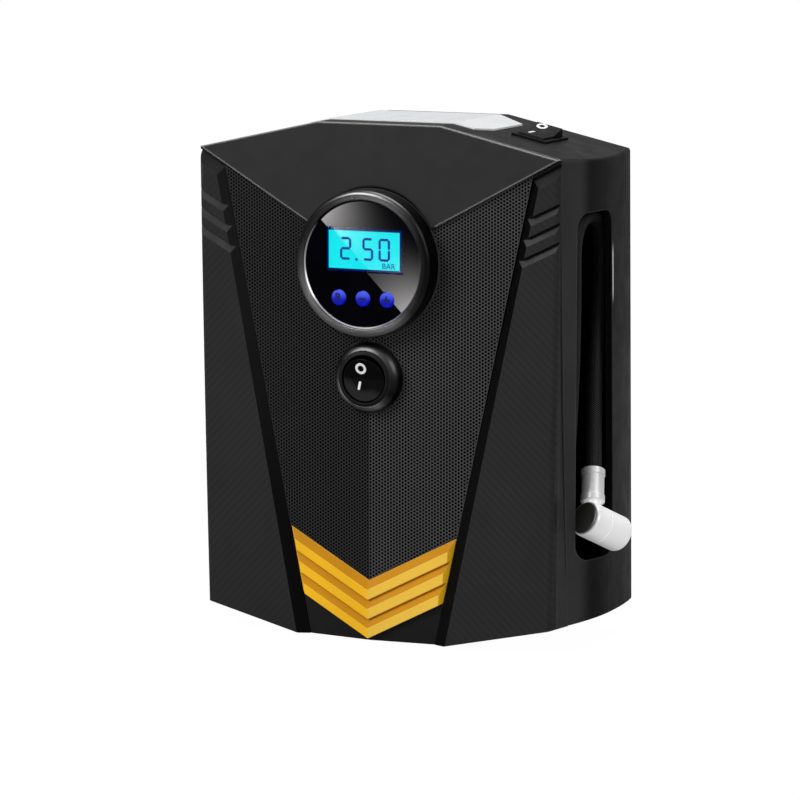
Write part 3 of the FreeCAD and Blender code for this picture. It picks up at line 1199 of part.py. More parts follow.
def cylinderPieces():
    """Finned cylinder, its head with cooling slots and a barb, and the four tie screws."""
    x, y = s.rodX, s.motorY
    base = s.flangeZ + s.flangeThickness
    outer = s.boreRadius + s.barrelWall
    sleeve = [(s.boreRadius, 0), (outer, 0)]
    for i in range(int(s.finCount.value)):
        z = s.finPitch * i + s.finThickness
        tip = z + s.finThickness
        sleeve = sleeve + [(outer, z), (s.finRadius, z), (s.finRadius, tip), (outer, tip)]
    sleeve = sleeve + [(outer, s.cylinderHeight), (s.boreRadius, s.cylinderHeight)]
    keep("cylinder", turned("cylinder", sleeve, x, y, base))
    top = base + s.cylinderHeight
    block = box("headBlock", x - s.headHalf, x + s.headHalf, y - s.headHalf, y + s.headHalf, top,
                top + s.headHeight)
    profile = [(0, -PAST), (s.barbRoot, -PAST), (s.barbRoot, s.barbStep), (s.barbRadius, s.barbStep),
               (s.barbRadius, s.barbLength), (0, s.barbLength)]
    barb = turned("headBarb", profile, x, s.barbY, top + s.headHeight)
    tools = []
    for i, (sx, sy) in enumerate(HEAD_SCREWS):
        tools.append(cylinder("headHole%d" % i, s.screwRadius + s.seatGap, s.headHeight + 2 * PAST, sx, sy,
                              top - PAST))
    for i in range(3):
        sy = y - s.headHalf / 2 + s.finPitch * i
        tools.append(box("headSlot%d" % i, x - s.headHalf - PAST, x + s.headHalf + PAST, sy,
                         sy + s.finThickness, top + s.headHeight - s.headSlotDepth,
                         top + s.headHeight + PAST))
    keep("cylinder_head", fused("cylinderHead", cut("slottedHead", block, *tools), barb))
    screws = []
    length = s.flangeThickness + s.cylinderHeight + s.headHeight
    for i, (sx, sy) in enumerate(HEAD_SCREWS):
        profile = [(0, 0), (s.screwRadius, 0), (s.screwRadius, length), (s.screwHeadRadius, length),
                   (s.screwHeadRadius, length + s.screwHeadHeight), (0, length + s.screwHeadHeight)]
        screws.append(turned("tieScrew%d" % i, profile, sx, sy, s.flangeZ))
    keep("head_screws", group("headScrews", *screws))


def frameFixings():
    """Rubber mounts under the frame's foot and the screws through them into the case."""
    rubbers = []
    screws = []
    for i, (x, y) in enumerate(MOUNTS):
        low = s.frameFootZ - s.mountHeight
        sleeve = tubeProfile(s.screwRadius + s.seatGap, s.mountRadius, 0, s.mountHeight)
        rubbers.append(turned("rubberMount%d" % i, sleeve, x, y, low))
        length = s.frameScrewLength
        top = s.frameFootZ + s.footThickness
        profile = [(0, 0), (s.screwRadius, 0), (s.screwRadius, length), (s.screwHeadRadius, length),
                   (s.screwHeadRadius, length + s.screwHeadHeight), (0, length + s.screwHeadHeight)]
        screws.append(turned("frameScrew%d" % i, profile, x, y, top - length))
    keep("rubber_mounts", group("rubberMounts", *rubbers))
    keep("frame_screws", group("frameScrews", *screws))


# Air line from the cylinder head to the hose

def airLine():
    """Tube from the head's barb up to a tee block, which carries the pressure sensor and the hose outlet."""
    x, y = s.rodX, s.barbY
    headTop = s.flangeZ + s.flangeThickness + s.cylinderHeight + s.headHeight
    bore = s.barbRadius + s.runningFit
    tube = tubeProfile(bore, s.tubeRadius, s.barbStep, s.tubeTopZ - headTop)
    keep("air_tube", turned("airTube", tube, x, y, headTop))
    half = s.teeHalf
    block = box("teeBlock", x - half, x + half, y - half, y + half, s.teeBottomZ, s.teeTopZ)
    barb = cylinder("teeBarb", s.barbRadius, s.barbLength + PAST, x, y, s.teeBottomZ - s.barbLength)
    bore = cylinder("teeBore", s.stemRadius, half + PAST, x, y, s.outletZ, RIGHT)
    keep("air_tee", cut("airTee", fused("teeBody", block, barb), bore))
    can = [(0, 0), (s.sensorRadius, 0), (s.sensorRadius, s.sensorLength),
           (s.sensorRadius / 2, s.sensorLength),
           (s.sensorRadius / 2, s.sensorLength + s.sensorStub), (0, s.sensorLength + s.sensorStub)]
    keep("pressure_sensor", turned("pressureSensor", can, x - half, y, s.outletZ, LEFT))


def hoseOutlet():
    """Elbow through the recess floor that turns the air down into the hose, and its nut inside the case."""
    start = s.rodX + s.gap
    wall = s.recessFloorX
    low = wall - start
    high = low + s.outletCollarLength
    stem = [(0, 0), (s.stemRadius, 0), (s.stemRadius, low), (s.outletCollar, low), (s.outletCollar, high),
            (s.outletRadius, high), (s.outletRadius, s.outletX - start), (0, s.outletX - start)]
    across = turned("outletStem", stem, start, s.outletY, s.outletZ, RIGHT)
    knee = doc.addObject("Part::Sphere", "outletKnee")
    bind(knee, "Radius", s.outletRadius)
    placeAt(knee, s.outletX, s.outletY, s.outletZ)
    down = cylinder("outletDown", s.outletRadius, s.outletZ - s.outletEndZ, s.outletX, s.outletY,
                    s.outletEndZ)
    keep("hose_outlet_elbow", fused("hoseOutletElbow", across, knee, down))
    nutStart = wall - s.pocketWall - s.nutThickness
    hexagon = [(s.nutRadius * math.cos(math.radians(60 * i)), s.nutRadius * math.sin(math.radians(60 * i)))
               for i in range(6)]
    nut = pad("outletNutBlank", "yz", hexagon, 0, s.nutThickness)
    placeAt(nut, nutStart, s.outletY, s.outletZ)
    nutBore = cylinder("outletNutBore", s.stemRadius, s.nutThickness + 2 * PAST, nutStart - PAST, s.outletY,
                       s.outletZ, RIGHT)
    keep("outlet_nut", cut("outletNut", nut, nutBore))


# Route of the hose in its recess: down from the outlet, up along the slot's front edge, over and down
# again, after the outlet's own point. Then the middle of the chuck's mouth, the way into it, the way
# from the chuck to the hose, and the share of a run that each bend of the hose may take.
HOSE_ROUTE = [(56, 16, 122), (57, 15.6, 96), (56, 16.5, 68), (56.5, 15.5, 40), (66.5, -8, 40),
              (68, -8.4, 65), (69.5, -7.8, 94), (70.5, -8.6, 126), (70, -8, 157), (70.3, 19, 157),
              (70.3, 17, 126), (70.5, 11.5, 98)]
CHUCK_MOUTH = Vector(84.5, 3.3, 41.0)
CHUCK_AXIS = Vector(-0.365, -0.829, 0.423)
FERRULE_AXIS = Vector(-0.2, 0.5, 0.84)
BEND_SHARE = 0.45


def along(start, axis, distance):
    step = Vector(axis)
    step.normalize()
    return start + step * float(distance)


def towards(axis):
    return FreeCAD.Rotation(UP, axis)


def hosePath(points):
    """Straight runs joined by tangent arcs, each as large as its two runs allow."""
    edges = []
    radii = []
    begin = points[0]
    for i in range(1, len(points) - 1):
        before, here, after = points[i - 1], points[i], points[i + 1]
        inward = (here - before).normalize()
        outward = (after - here).normalize()
        turn = inward.getAngle(outward)
        reach = BEND_SHARE * min((here - before).Length, (after - here).Length)
        radii.append(reach / math.tan(turn / 2))
        first = here - inward * reach
        last = here + outward * reach
        bisector = (outward - inward).normalize()
        centre = here + bisector * (radii[-1] / math.cos(turn / 2))
        edges.append(Part.LineSegment(begin, first).toShape())
        edges.append(Part.Arc(first, centre - bisector * radii[-1], last).toShape())
        begin = last
    edges.append(Part.LineSegment(begin, points[-1]).toShape())
    print("hose radii", [round(radius, 1) for radius in radii])
    return Part.Wire(edges)


def airHose():
    """One tube along the route, as long as the stretch that the photograph shows and its hidden return."""
    port = along(CHUCK_MOUTH, CHUCK_AXIS, s.chuckPortAt)
    end = along(port, FERRULE_AXIS, s.ferruleStart + s.ferruleLength)
    points = [Vector(s.outletX.value, s.outletY.value, s.outletEndZ.value)]
    points = points + [Vector(*point) for point in HOSE_ROUTE]
    points = points + [along(end, FERRULE_AXIS, s.ferruleLength), end]
    path = hosePath(points)
    start = Part.Wire([Part.Circle(points[0], points[1] - points[0], s.hoseRadius.value).toShape()])
    tube = path.makePipeShell([start], True, False)
    expected = math.pi * s.hoseRadius.value ** 2 * path.Length
    print("hose length", round(path.Length, 1), "volume", round(tube.Volume, 1), "expected",
          round(expected, 1))
    hose = doc.addObject("Part::Feature", "airHose")
    hose.Shape = tube
    keep("air_hose", hose)


def isTopRim(radius, height):
    """A test for the outer rim at one height of a piece that is turned about the Z axis."""
    def wanted(edge):
        size = edge.BoundBox
        level = abs(size.ZMin - float(height)) < TINY and size.ZLength < TINY
        return level and abs(size.XLength - 2 * float(radius)) < TINY
    return wanted


def chuckPieces():
    """Screw-on valve chuck: closed elbow, swivel cap with the mouth, rubber seal, and the hose's ferrule."""
    port = along(CHUCK_MOUTH, CHUCK_AXIS, s.chuckPortAt)
    low = along(port, FERRULE_AXIS, s.ferruleStart)
    length = s.ferruleLength
    r = s.ferruleRadius
    lip = r - s.gap
    sleeve = [(0, 0), (lip, 0), (r, s.gap), (r, s.crimpWidth), (lip, s.crimpWidth + s.gap),
              (lip, length - s.crimpWidth), (r, length - s.crimpWidth + s.gap), (r, length), (0, length)]
    away = towards(FERRULE_AXIS)
    keep("hose_ferrule", turned("hoseFerrule", sleeve, low.x, low.y, low.z, away))
    turn = towards(CHUCK_AXIS)
    mouth = CHUCK_MOUTH
    radius = s.chuckRadius
    sealBack = s.valveDepth + s.sealThickness
    headBack = sealBack + s.spindleHeadLength
    capBack = headBack + s.gap + s.capFloor
    spindle = [(0, sealBack), (s.spindleHead, sealBack), (s.spindleHead, headBack),
               (s.spindleRadius, headBack),
               (s.spindleRadius, capBack + s.gap), (radius, capBack + s.gap), (radius, s.chuckLength),
               (0, s.chuckLength)]
    barrel = rounded("chuckBarrel", turned("chuckTurned", spindle), s.chuckRounding,
                     isTopRim(s.chuckRadius, s.chuckLength))
    placeAt(barrel, mouth.x, mouth.y, mouth.z, turn)
    neck = cylinder("chuckNeck", s.neckRadius, s.ferruleStart, port.x, port.y, port.z, away)
    keep("chuck_elbow", fused("chuckElbow", barrel, neck))
    seal = along(mouth, CHUCK_AXIS, s.valveDepth)
    washer = tubeProfile(s.sealBore, s.valveRadius - s.runningFit, 0, s.sealThickness)
    keep("chuck_seal", turned("chuckSeal", washer, seal.x, seal.y, seal.z, turn))
    hole = s.spindleRadius + s.runningFit
    cap = [(s.valveRadius, 0), (radius, 0), (radius, capBack), (hole, capBack),
           (hole, capBack - s.capFloor),
           (s.valveRadius, capBack - s.capFloor)]
    shell = rounded("chuckCap", turned("chuckCapTurned", cap), s.chuckRounding, isTopRim(s.chuckRadius, 0))
    keep("chuck_cap", placeAt(shell, mouth.x, mouth.y, mouth.z, turn))


def everything():
    keep("rear_shell", rearShell())
    keep("front_shell", frontShell())
    wing = keep("right_wing_panel", wingPanel())
    keep("left_wing_panel", mirrored("leftWing", wing))
    keep("mesh_panel", meshPanel())
    keep("brow_cover", browCover())
    keep("chevron_trim", chevronTrim())
    gaugePieces()
    keyPieces()
    powerSwitch()
    lampPieces()
    lampSwitch()
    terminals()
    caseScrews()
    feet()
    cordGland()
    motorPieces()
    crankPieces()
    compressorFrame()
    pistonPieces()
    cylinderPieces()
    frameFixings()
    airLine()
    hoseOutlet()
    airHose()
    chuckPieces()


def writeOut():
    """Checks every object of the document and writes each piece to its own file."""
    doc.recompute()
    failed = [thing.Name for thing in doc.Objects if "Invalid" in thing.State or "Error" in thing.State]
    if failed:
        raise RuntimeError("failed objects: " + ", ".join(failed))
    os.makedirs("parts", exist_ok=True)
    for label, thing in EXPORTS:
        shape = thing.Shape
        if shape.isNull() or not shape.isValid():
            raise RuntimeError("bad shape " + label)
        shape.exportStep("parts/%s.step" % label)
        print(label, len(shape.Solids), "solids", round(shape.Volume, 1))


everything()
writeOut()
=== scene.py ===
import math

import bmesh
import bpy
from mathutils import Matrix, Vector


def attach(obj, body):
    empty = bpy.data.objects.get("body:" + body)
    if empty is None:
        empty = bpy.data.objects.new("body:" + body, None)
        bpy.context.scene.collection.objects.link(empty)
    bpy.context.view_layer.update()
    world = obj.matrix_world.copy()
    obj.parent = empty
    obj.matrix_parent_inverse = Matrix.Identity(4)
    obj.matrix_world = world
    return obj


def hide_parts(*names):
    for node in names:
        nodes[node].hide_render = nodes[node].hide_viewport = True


# Portable tyre inflator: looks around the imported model, in metres, front towards -Y.

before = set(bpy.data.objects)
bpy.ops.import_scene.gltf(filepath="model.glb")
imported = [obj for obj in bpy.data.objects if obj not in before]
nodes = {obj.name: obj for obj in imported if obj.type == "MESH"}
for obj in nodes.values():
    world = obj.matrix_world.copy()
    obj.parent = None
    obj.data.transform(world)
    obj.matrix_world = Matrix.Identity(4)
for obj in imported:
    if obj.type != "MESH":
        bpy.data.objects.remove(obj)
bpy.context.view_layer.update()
scene = bpy.context.scene
print("frame loaded,", len(nodes), "nodes")


# camera, at the photograph's viewing angle

cameraSetup = {
    "place": (0.6430, -1.3663, 0.3082), "azimuth": 25.29, "pitch": 8.38, "lens": 185.3,
}


def makeCamera(setup):
    camera = bpy.data.objects.new("camera", bpy.data.cameras.new("camera"))
    scene.collection.objects.link(camera)
    turn, drop = math.radians(setup["azimuth"]), math.radians(setup["pitch"])
    ahead = Vector((-math.sin(turn) * math.cos(drop), math.cos(turn) * math.cos(drop), -math.sin(drop)))
    camera.location = setup["place"]
    camera.rotation_mode = "QUATERNION"
    camera.rotation_quaternion = ahead.to_track_quat("-Z", "Y")
    camera.data.sensor_width = 36.0
    camera.data.lens = setup["lens"]
    camera.data.clip_start, camera.data.clip_end = 0.05, 50.0
    scene.camera = camera


makeCamera(cameraSetup)
scene.view_settings.view_transform = "Standard"


# helpers for nodes and pieces

def addNode(tree, kind, inputs=None, **settings):
    made = tree.nodes.new("ShaderNode" + kind)
    for key, value in settings.items():
        setattr(made, key, value)
    for key, value in (inputs or {}).items():
        if isinstance(value, bpy.types.NodeSocket):
            tree.links.new(value, made.inputs[key])
        else:
            made.inputs[key].default_value = value
    return made


def maths(tree, operation, first, second=0.0, third=0.0):
    return addNode(tree, "Math", {0: first, 1: second, 2: third}, operation=operation).outputs[0]


def ramp(tree, value, low, high, lowTo=0.0, highTo=1.0):
    made = addNode(tree, "MapRange", {"Value": value, "From Min": low, "From Max": high,
                                      "To Min": lowTo, "To Max": highTo}, interpolation_type="SMOOTHSTEP")
    return made.outputs[0]


def blendColour(tree, factor, first, second):  # colours are sockets or triples
    made = addNode(tree, "Mix", data_type="RGBA")
    for index, value in ((0, factor), (6, first), (7, second)):
        if isinstance(value, bpy.types.NodeSocket):
            tree.links.new(value, made.inputs[index])
        elif index:
            made.inputs[index].default_value = (*value, 1.0)
        else:
            made.inputs[index].default_value = value
    return made.outputs[2]


def scaleColour(tree, colour, factor):
    return addNode(tree, "VectorMath", {0: colour, "Scale": factor}, operation="SCALE").outputs[0]


def objectPlace(tree):
    return addNode(tree, "TexCoord").outputs["Object"]


def noise(tree, size, detail=2.0, place=None):  # features of about that size, in metres
    inputs = {"Scale": 1.0 / size, "Detail": detail, "Vector": place or objectPlace(tree)}
    return addNode(tree, "TexNoise", inputs).outputs["Fac"]


def drift(tree, size, low=0.0, high=1.0, detail=2.0):  # wanders between two values, in patches of that size
    return ramp(tree, noise(tree, size, detail), 0.3, 0.7, low, high)


def scratches(tree, size, stretch, depth, detail=3.0):  # the height of fine lines, long where the stretch is small
    drawn = addNode(tree, "Mapping", {"Vector": objectPlace(tree), "Scale": stretch}).outputs[0]
    return maths(tree, "MULTIPLY", noise(tree, size, detail, drawn), depth)


def axes(tree, place=None):  # the three coordinates of a place, apart
    return addNode(tree, "SeparateXYZ", {0: place or objectPlace(tree)}).outputs[:]


def normalAxes(tree):
    return axes(tree, addNode(tree, "NewGeometry").outputs["True Normal"])


def fromMiddle(tree, middle):  # the ways across and up from a middle in the front view, and the distance
    across, _, up = axes(tree)
    across, away = maths(tree, "SUBTRACT", across, middle[0]), maths(tree, "SUBTRACT", up, middle[1])
    squares = maths(tree, "MULTIPLY", across, across), maths(tree, "MULTIPLY", away, away)
    return across, away, maths(tree, "SQRT", maths(tree, "ADD", *squares))


def newMaterial(name, roughness=0.5, metallic=0.0, specular=0.5, coat=0.0):
    material = bpy.data.materials.new(name)
    material.use_nodes = True
    shader = material.node_tree.nodes["Principled BSDF"]
    for key, value in (("Roughness", roughness), ("Metallic", metallic), ("Specular IOR Level", specular),
                       ("Coat Weight", coat), ("Coat Roughness", 0.1)):
        shader.inputs[key].default_value = value
    return material, material.node_tree, shader


def paint(tree, shader, colour):
    tree.links.new(colour, shader.inputs["Base Color"])


def lightUp(tree, shader, colour, strength=1.0):
    tree.links.new(colour, shader.inputs["Emission Color"])
    shader.inputs["Emission Strength"].default_value = strength


# colour with a slow drift and paler edges, painted both as wear and as edge highlights, a fine grain, and edges
# rounded in the shading
def surface(tree, shader, colour, grain=0.0004, depth=0.00001, edge=0.0004, spread=0.12, wear=0.25, relief=0.0,
            wornTo=(0.10, 0.10, 0.105)):
    if not isinstance(colour, bpy.types.NodeSocket):
        colour = blendColour(tree, 0.0, colour, colour)
    rounded = addNode(tree, "Bevel", {"Radius": edge}, samples=4).outputs[0]
    tinted = scaleColour(tree, colour, drift(tree, 0.03, 1.0 - spread, 1.0 + spread, 3.0))
    plain = addNode(tree, "NewGeometry").outputs["Normal"]
    facing = addNode(tree, "VectorMath", {0: rounded, 1: plain}, operation="DOT_PRODUCT").outputs["Value"]
    worn = maths(tree, "MULTIPLY", ramp(tree, facing, 0.995, 0.90), wear)
    paint(tree, shader, blendColour(tree, worn, tinted, wornTo))
    base = shader.inputs["Roughness"].default_value
    tree.links.new(drift(tree, 0.008, base * 0.9, base * 1.12, 4.0), shader.inputs["Roughness"])
    height = maths(tree, "ADD", maths(tree, "MULTIPLY", noise(tree, grain), depth), relief)
    bump = addNode(tree, "Bump", {"Height": height, "Distance": 1.0, "Normal": rounded})
    tree.links.new(bump.outputs[0], shader.inputs["Normal"])


def dress(material, *names):
    for name in names:
        nodes[name].data.materials.clear()
        nodes[name].data.materials.append(material)


def meshObject(name, bm, material):
    mesh = bpy.data.meshes.new(name)
    bm.to_mesh(mesh)
    bm.free()
    for one in material if isinstance(material, list) else [material]:
        mesh.materials.append(one)
    made = bpy.data.objects.new(name, mesh)
    scene.collection.objects.link(made)
    return made


def addPiece(name, bm, material, body, smooth=False):  # the bmesh's places are in the row frame
    bmesh.ops.remove_doubles(bm, verts=bm.verts, dist=1e-7)
    bmesh.ops.recalc_face_normals(bm, faces=bm.faces)
    for face in bm.faces:
        face.smooth = smooth
    piece = meshObject(name, bm, material)
    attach(piece, body)
    return piece


# moulded plastics

def plasticFinish(name, colour, roughness, **more):
    material, tree, shader = newMaterial(name, roughness, specular=more.pop("specular", 0.35),
                                         coat=more.pop("coat", 0.0))
    surface(tree, shader, colour, **more)
    return material


case = {
    "strip": (0.0370, 0.0370, 0.0386), "side": (0.0036, 0.0036, 0.0039), "lip": (0.0020, 0.0020, 0.0023),
    "top": (0.0026, 0.0026, 0.0029), "back": (0.0105, 0.0105, 0.0110), "worn": (0.13, 0.13, 0.133),
    "stripEnds": (-0.014, -0.006), "lipEnds": (0.016, 0.024), "topFacing": (0.5, 0.8), "backFacing": (0.6, 0.9),
    "glint": (0.6, 0.6, 0.6), "glintFacing": (0.3, 0.7), "glintAcross": (0.070, 0.074),
    "glintAlong": (0.0102, 0.0108, 0.0115, 0.0121), "glintUp": (0.124, 0.130, 0.142, 0.148),
}


# painted sheen on the paler front strip, painted shade nearly black round the recess and darker on top faces,
# painted light on the faces that look back, and one short painted glint on the slot's rear edge
def makeCaseFinish(setup):
    material, tree, shader = newMaterial("caseBlack", 0.42, specular=0.10)
    across, along, up = axes(tree)
    sideways, backwards, upwards = normalAxes(tree)
    # painted sheen pales the front strip of the sides, painted shade makes them nearly black round the recess
    side = blendColour(tree, ramp(tree, along, *setup["stripEnds"]), setup["strip"], setup["side"])
    side = blendColour(tree, ramp(tree, along, *setup["lipEnds"]), side, setup["lip"])
    # painted shade darkens the faces that look up, painted light pales the faces that look back
    colour = blendColour(tree, ramp(tree, upwards, *setup["topFacing"]), side, setup["top"])
    colour = blendColour(tree, ramp(tree, backwards, *setup["backFacing"]), colour, setup["back"])
    # painted highlight: one short glint on the outer face at the slot's rear edge
    glint = maths(tree, "MULTIPLY", ramp(tree, sideways, *setup["glintFacing"]),
                  ramp(tree, across, *setup["glintAcross"]))
    for value, (begin, full, fullTo, end) in ((along, setup["glintAlong"]), (up, setup["glintUp"])):
        glint = maths(tree, "MULTIPLY", glint, ramp(tree, value, begin, full))
        glint = maths(tree, "MULTIPLY", glint, ramp(tree, value, end, fullTo))
    surface(tree, shader, blendColour(tree, glint, colour, setup["glint"]), grain=0.0005, depth=0.000012,
            edge=0.0006, wear=0.5, wornTo=setup["worn"])
    return material


brow = {"colour": (0.0086, 0.0086, 0.0091), "worn": (0.42, 0.42, 0.41), "middle": (0.0, 0.1401),
        "gaugeEdge": (0.0288, 0.0298)}


def makeBrowFinish(setup):  # satin charcoal with painted highlights along its long edges, but not along its edge round the gauge
    material, tree, shader = newMaterial("browCharcoal", 0.5, specular=0.18)
    _, _, reach = fromMiddle(tree, setup["middle"])
    surface(tree, shader, setup["colour"], grain=0.0004, depth=0.000008, edge=0.0011, spread=0.06,
            wear=ramp(tree, reach, *setup["gaugeEdge"]), wornTo=setup["worn"])
    return material


rocker = {
    "black": (0.0005, 0.0005, 0.0008), "pale": (0.016, 0.016, 0.0165), "worn": (0.03, 0.03, 0.031),
    "middle": (0.0, 0.0982), "crescent": (0.0030, 0.0058), "low": (-0.0012, -0.0050), "lean": 0.35,
}


def makeRockerFinish(setup):  # gloss black, with a painted reflection: a pale crescent low on its face
    material, tree, shader = newMaterial("rockerBlack", 0.25, specular=0.06)
    across, away, reach = fromMiddle(tree, setup["middle"])
    leaning = maths(tree, "ADD", away, maths(tree, "MULTIPLY", across, setup["lean"]))
    pale = maths(tree, "MULTIPLY", ramp(tree, reach, *setup["crescent"]), ramp(tree, leaning, *setup["low"]))
    surface(tree, shader, blendColour(tree, pale, setup["black"], setup["pale"]), grain=0.0005, depth=0.000002,
            edge=0.0005, wear=0.3, wornTo=setup["worn"])
    return material


darkFinish = plasticFinish("innerBlack", (0.003, 0.003, 0.0034), 0.55, specular=0.15, grain=0.0006,
                           depth=0.000012, wear=0.1)
panelFinish = plasticFinish("panelBlack", (0.0050, 0.0050, 0.0054), 0.5, specular=0.18, grain=0.0005,
                            depth=0.00001, wear=0.3)
switchFinish = plasticFinish("switchBlack", (0.003, 0.003, 0.0034), 0.45, specular=0.08, grain=0.0006,
                             depth=0.000006, wear=0.2)
rubberFinish = plasticFinish("rubberBlack", (0.010, 0.010, 0.010), 0.75, grain=0.0005, depth=0.00003)
trayFinish = plasticFinish("trayWhite", (0.75, 0.75, 0.73), 0.35, wear=0.0)
boardFinish = plasticFinish("boardGreen", (0.02, 0.12, 0.05), 0.35, grain=0.001, depth=0.00003)
frostFinish = plasticFinish("lampFrost", (0.78, 0.80, 0.82), 0.25, specular=0.5, coat=0.3, grain=0.0012,
                            depth=0.000006, spread=0.02, wear=0.0)
markFinish = plasticFinish("markWhite", (0.82, 0.82, 0.81), 0.5, grain=0.0002, depth=0.000002, spread=0.02, wear=0.0)

dress(makeCaseFinish(case), "rear_shell", "front_shell")
dress(makeBrowFinish(brow), "brow_cover")
dress(makeRockerFinish(rocker), "power_rocker")
dress(panelFinish, "mesh_panel")
dress(darkFinish, "gauge_cup", "gauge_dial", "power_switch_body", "motor_end_cap", "pressure_sensor")
dress(switchFinish, "lamp_switch_body", "lamp_rocker")
dress(rubberFinish, "rubber_feet", "cord_gland", "piston_cup_seal", "rubber_mounts", "air_tube", "chuck_seal")
dress(trayFinish, "lamp_tray")
dress(boardFinish, "display_board", "lamp_board")
dress(frostFinish, "lamp_lens")


# wings: a faint carbon twill under lacquer, with a plain dark bevel towards the mesh; on the left wing painted shade
# darkens the cloth and rib tops and painted light pales the bevel higher up

wing = {
    "tow": 0.0008, "towHeight": 0.000006, "cloth": (0.0178, 0.0178, 0.0186), "under": (0.0126, 0.0126, 0.0134),
    "underShare": 0.7, "left": 0.82, "rib": 0.45, "bevel": (0.0012, 0.0012, 0.0014),
    "leftBevel": (0.0085, 0.0085, 0.0090), "worn": (0.06, 0.06, 0.062), "gloss": 0.20, "plainGloss": 0.06,
    "bevelFacing": (-0.02, 0.2), "topFacing": (0.35, 0.6), "ribFacing": (0.06, 0.25), "litUp": (0.02, 0.15),
}


def makeWingFinish(setup):
    material, tree, shader = newMaterial("carbonTwill", 0.44, specular=setup["gloss"])
    across, _, up = axes(tree)
    column = maths(tree, "DIVIDE", maths(tree, "ABSOLUTE", across), setup["tow"])
    row = maths(tree, "DIVIDE", up, setup["tow"])
    step = maths(tree, "ADD", maths(tree, "FLOOR", column), maths(tree, "FLOOR", row))
    over = maths(tree, "LESS_THAN", maths(tree, "FLOORED_MODULO", step, 4.0), 2.0)
    ridge, lane = (maths(tree, "ABSOLUTE", maths(tree, "SINE", maths(tree, "MULTIPLY", count, math.pi)))
                   for count in (column, row))
    tow = addNode(tree, "Mix", {0: over, 2: ridge, 3: lane}).outputs[0]
    cloth = blendColour(tree, maths(tree, "MULTIPLY", over, setup["underShare"]), setup["cloth"], setup["under"])
    sideways, _, upwards = normalAxes(tree)
    inwards = maths(tree, "MULTIPLY", maths(tree, "MULTIPLY", sideways, maths(tree, "SIGN", across)), -1.0)
    topEdge = ramp(tree, upwards, *setup["topFacing"])
    plain = maths(tree, "MAXIMUM", ramp(tree, inwards, *setup["bevelFacing"]), topEdge)
    # painted light and shade on the left wing: a paler bevel higher up, darker cloth, darker rib tops
    left = ramp(tree, across, 0.001, -0.001)
    lit = maths(tree, "MULTIPLY", maths(tree, "MULTIPLY", left, ramp(tree, up, *setup["litUp"])),
                maths(tree, "SUBTRACT", 1.0, topEdge))
    ribTop = maths(tree, "MULTIPLY", left, ramp(tree, upwards, *setup["ribFacing"]))
    shade = maths(tree, "MULTIPLY", ramp(tree, left, 0.0, 1.0, 1.0, setup["left"]),
                  ramp(tree, ribTop, 0.0, 1.0, 1.0, setup["rib"]))
    bevel = blendColour(tree, lit, setup["bevel"], setup["leftBevel"])
    tree.links.new(ramp(tree, plain, 0.0, 1.0, setup["gloss"], setup["plainGloss"]),
                   shader.inputs["Specular IOR Level"])
    surface(tree, shader, blendColour(tree, plain, scaleColour(tree, cloth, shade), bevel), depth=0.000004,
            edge=0.0003, wear=0.35, spread=0.05, relief=maths(tree, "MULTIPLY", tow, setup["towHeight"]),
            wornTo=setup["worn"])
    return material


dress(makeWingFinish(wing), "right_wing_panel", "left_wing_panel")


# chevron: gold lacquer with painted shade making the faces that lean up brown-gold, painted light making the right
# half's faces that lean down paler, and painted light on the end faces

gold = {
    "lower": (0.98, 0.53, 0.020), "right": (1.0, 0.62, 0.075), "upper": (0.50, 0.212, 0.0008),
    "end": (0.98, 0.54, 0.012), "worn": (0.98, 0.66, 0.16), "upperFacing": (-0.15, 0.15), "endFacing": (0.42, 0.6),
}


def makeGoldFinish(setup):
    material, tree, shader = newMaterial("goldLacquer", 0.38, specular=0.05)
    sideways, _, upwards = normalAxes(tree)
    across, _, _ = axes(tree)
    # painted light pales the right half's lower faces, painted shade darkens faces that lean up, painted light
    # brightens the ends
    lower = blendColour(tree, ramp(tree, across, -0.001, 0.001), setup["lower"], setup["right"])
    face = blendColour(tree, ramp(tree, upwards, *setup["upperFacing"]), lower, setup["upper"])
    ends = ramp(tree, maths(tree, "ABSOLUTE", sideways), *setup["endFacing"])
    surface(tree, shader, blendColour(tree, ends, face, setup["end"]), grain=0.0003, depth=0.000003, edge=0.00035,
            spread=0.05, wear=0.6, wornTo=setup["worn"])
    return material


dress(makeGoldFinish(gold), "chevron_trim")
print("plastics done")


# metals

def metalFinish(name, colour, roughness, stretch=(1.0, 1.0, 1.0), depth=0.000002, **more):
    material, tree, shader = newMaterial(name, roughness, metallic=more.pop("metallic", 1.0))
    surface(tree, shader, colour, depth=0.000001, wear=0.0, spread=0.06,
            relief=scratches(tree, 0.0003, stretch, depth), **more)
    return material


steelFinish = metalFinish("zincSteel", (0.55, 0.55, 0.57), 0.35)
ironFinish = metalFinish("sinteredIron", (0.20, 0.20, 0.21), 0.5, depth=0.000008)
castFinish = metalFinish("castAluminium", (0.60, 0.61, 0.62), 0.5, depth=0.00001)
brassFinish = metalFinish("plainBrass", (0.72, 0.50, 0.20), 0.3)
ferruleFinish = metalFinish("satinAluminium", (0.95, 0.95, 0.96), 0.36, metallic=0.6, stretch=(1, 1, 0.08),
                            edge=0.0003)

chuck = {
    "mouth": (0.0845, 0.0033, 0.041), "axis": (-0.365, -0.829, 0.423), "end": (0.0162, 0.0176),
    "face": (0.0068, 0.0056), "metal": (0.97, 0.97, 0.975), "turned": (0.014, 0.014, 0.012),
    "brushed": (0.3, 0.15, 0.25), "gleam": 0.2,
}


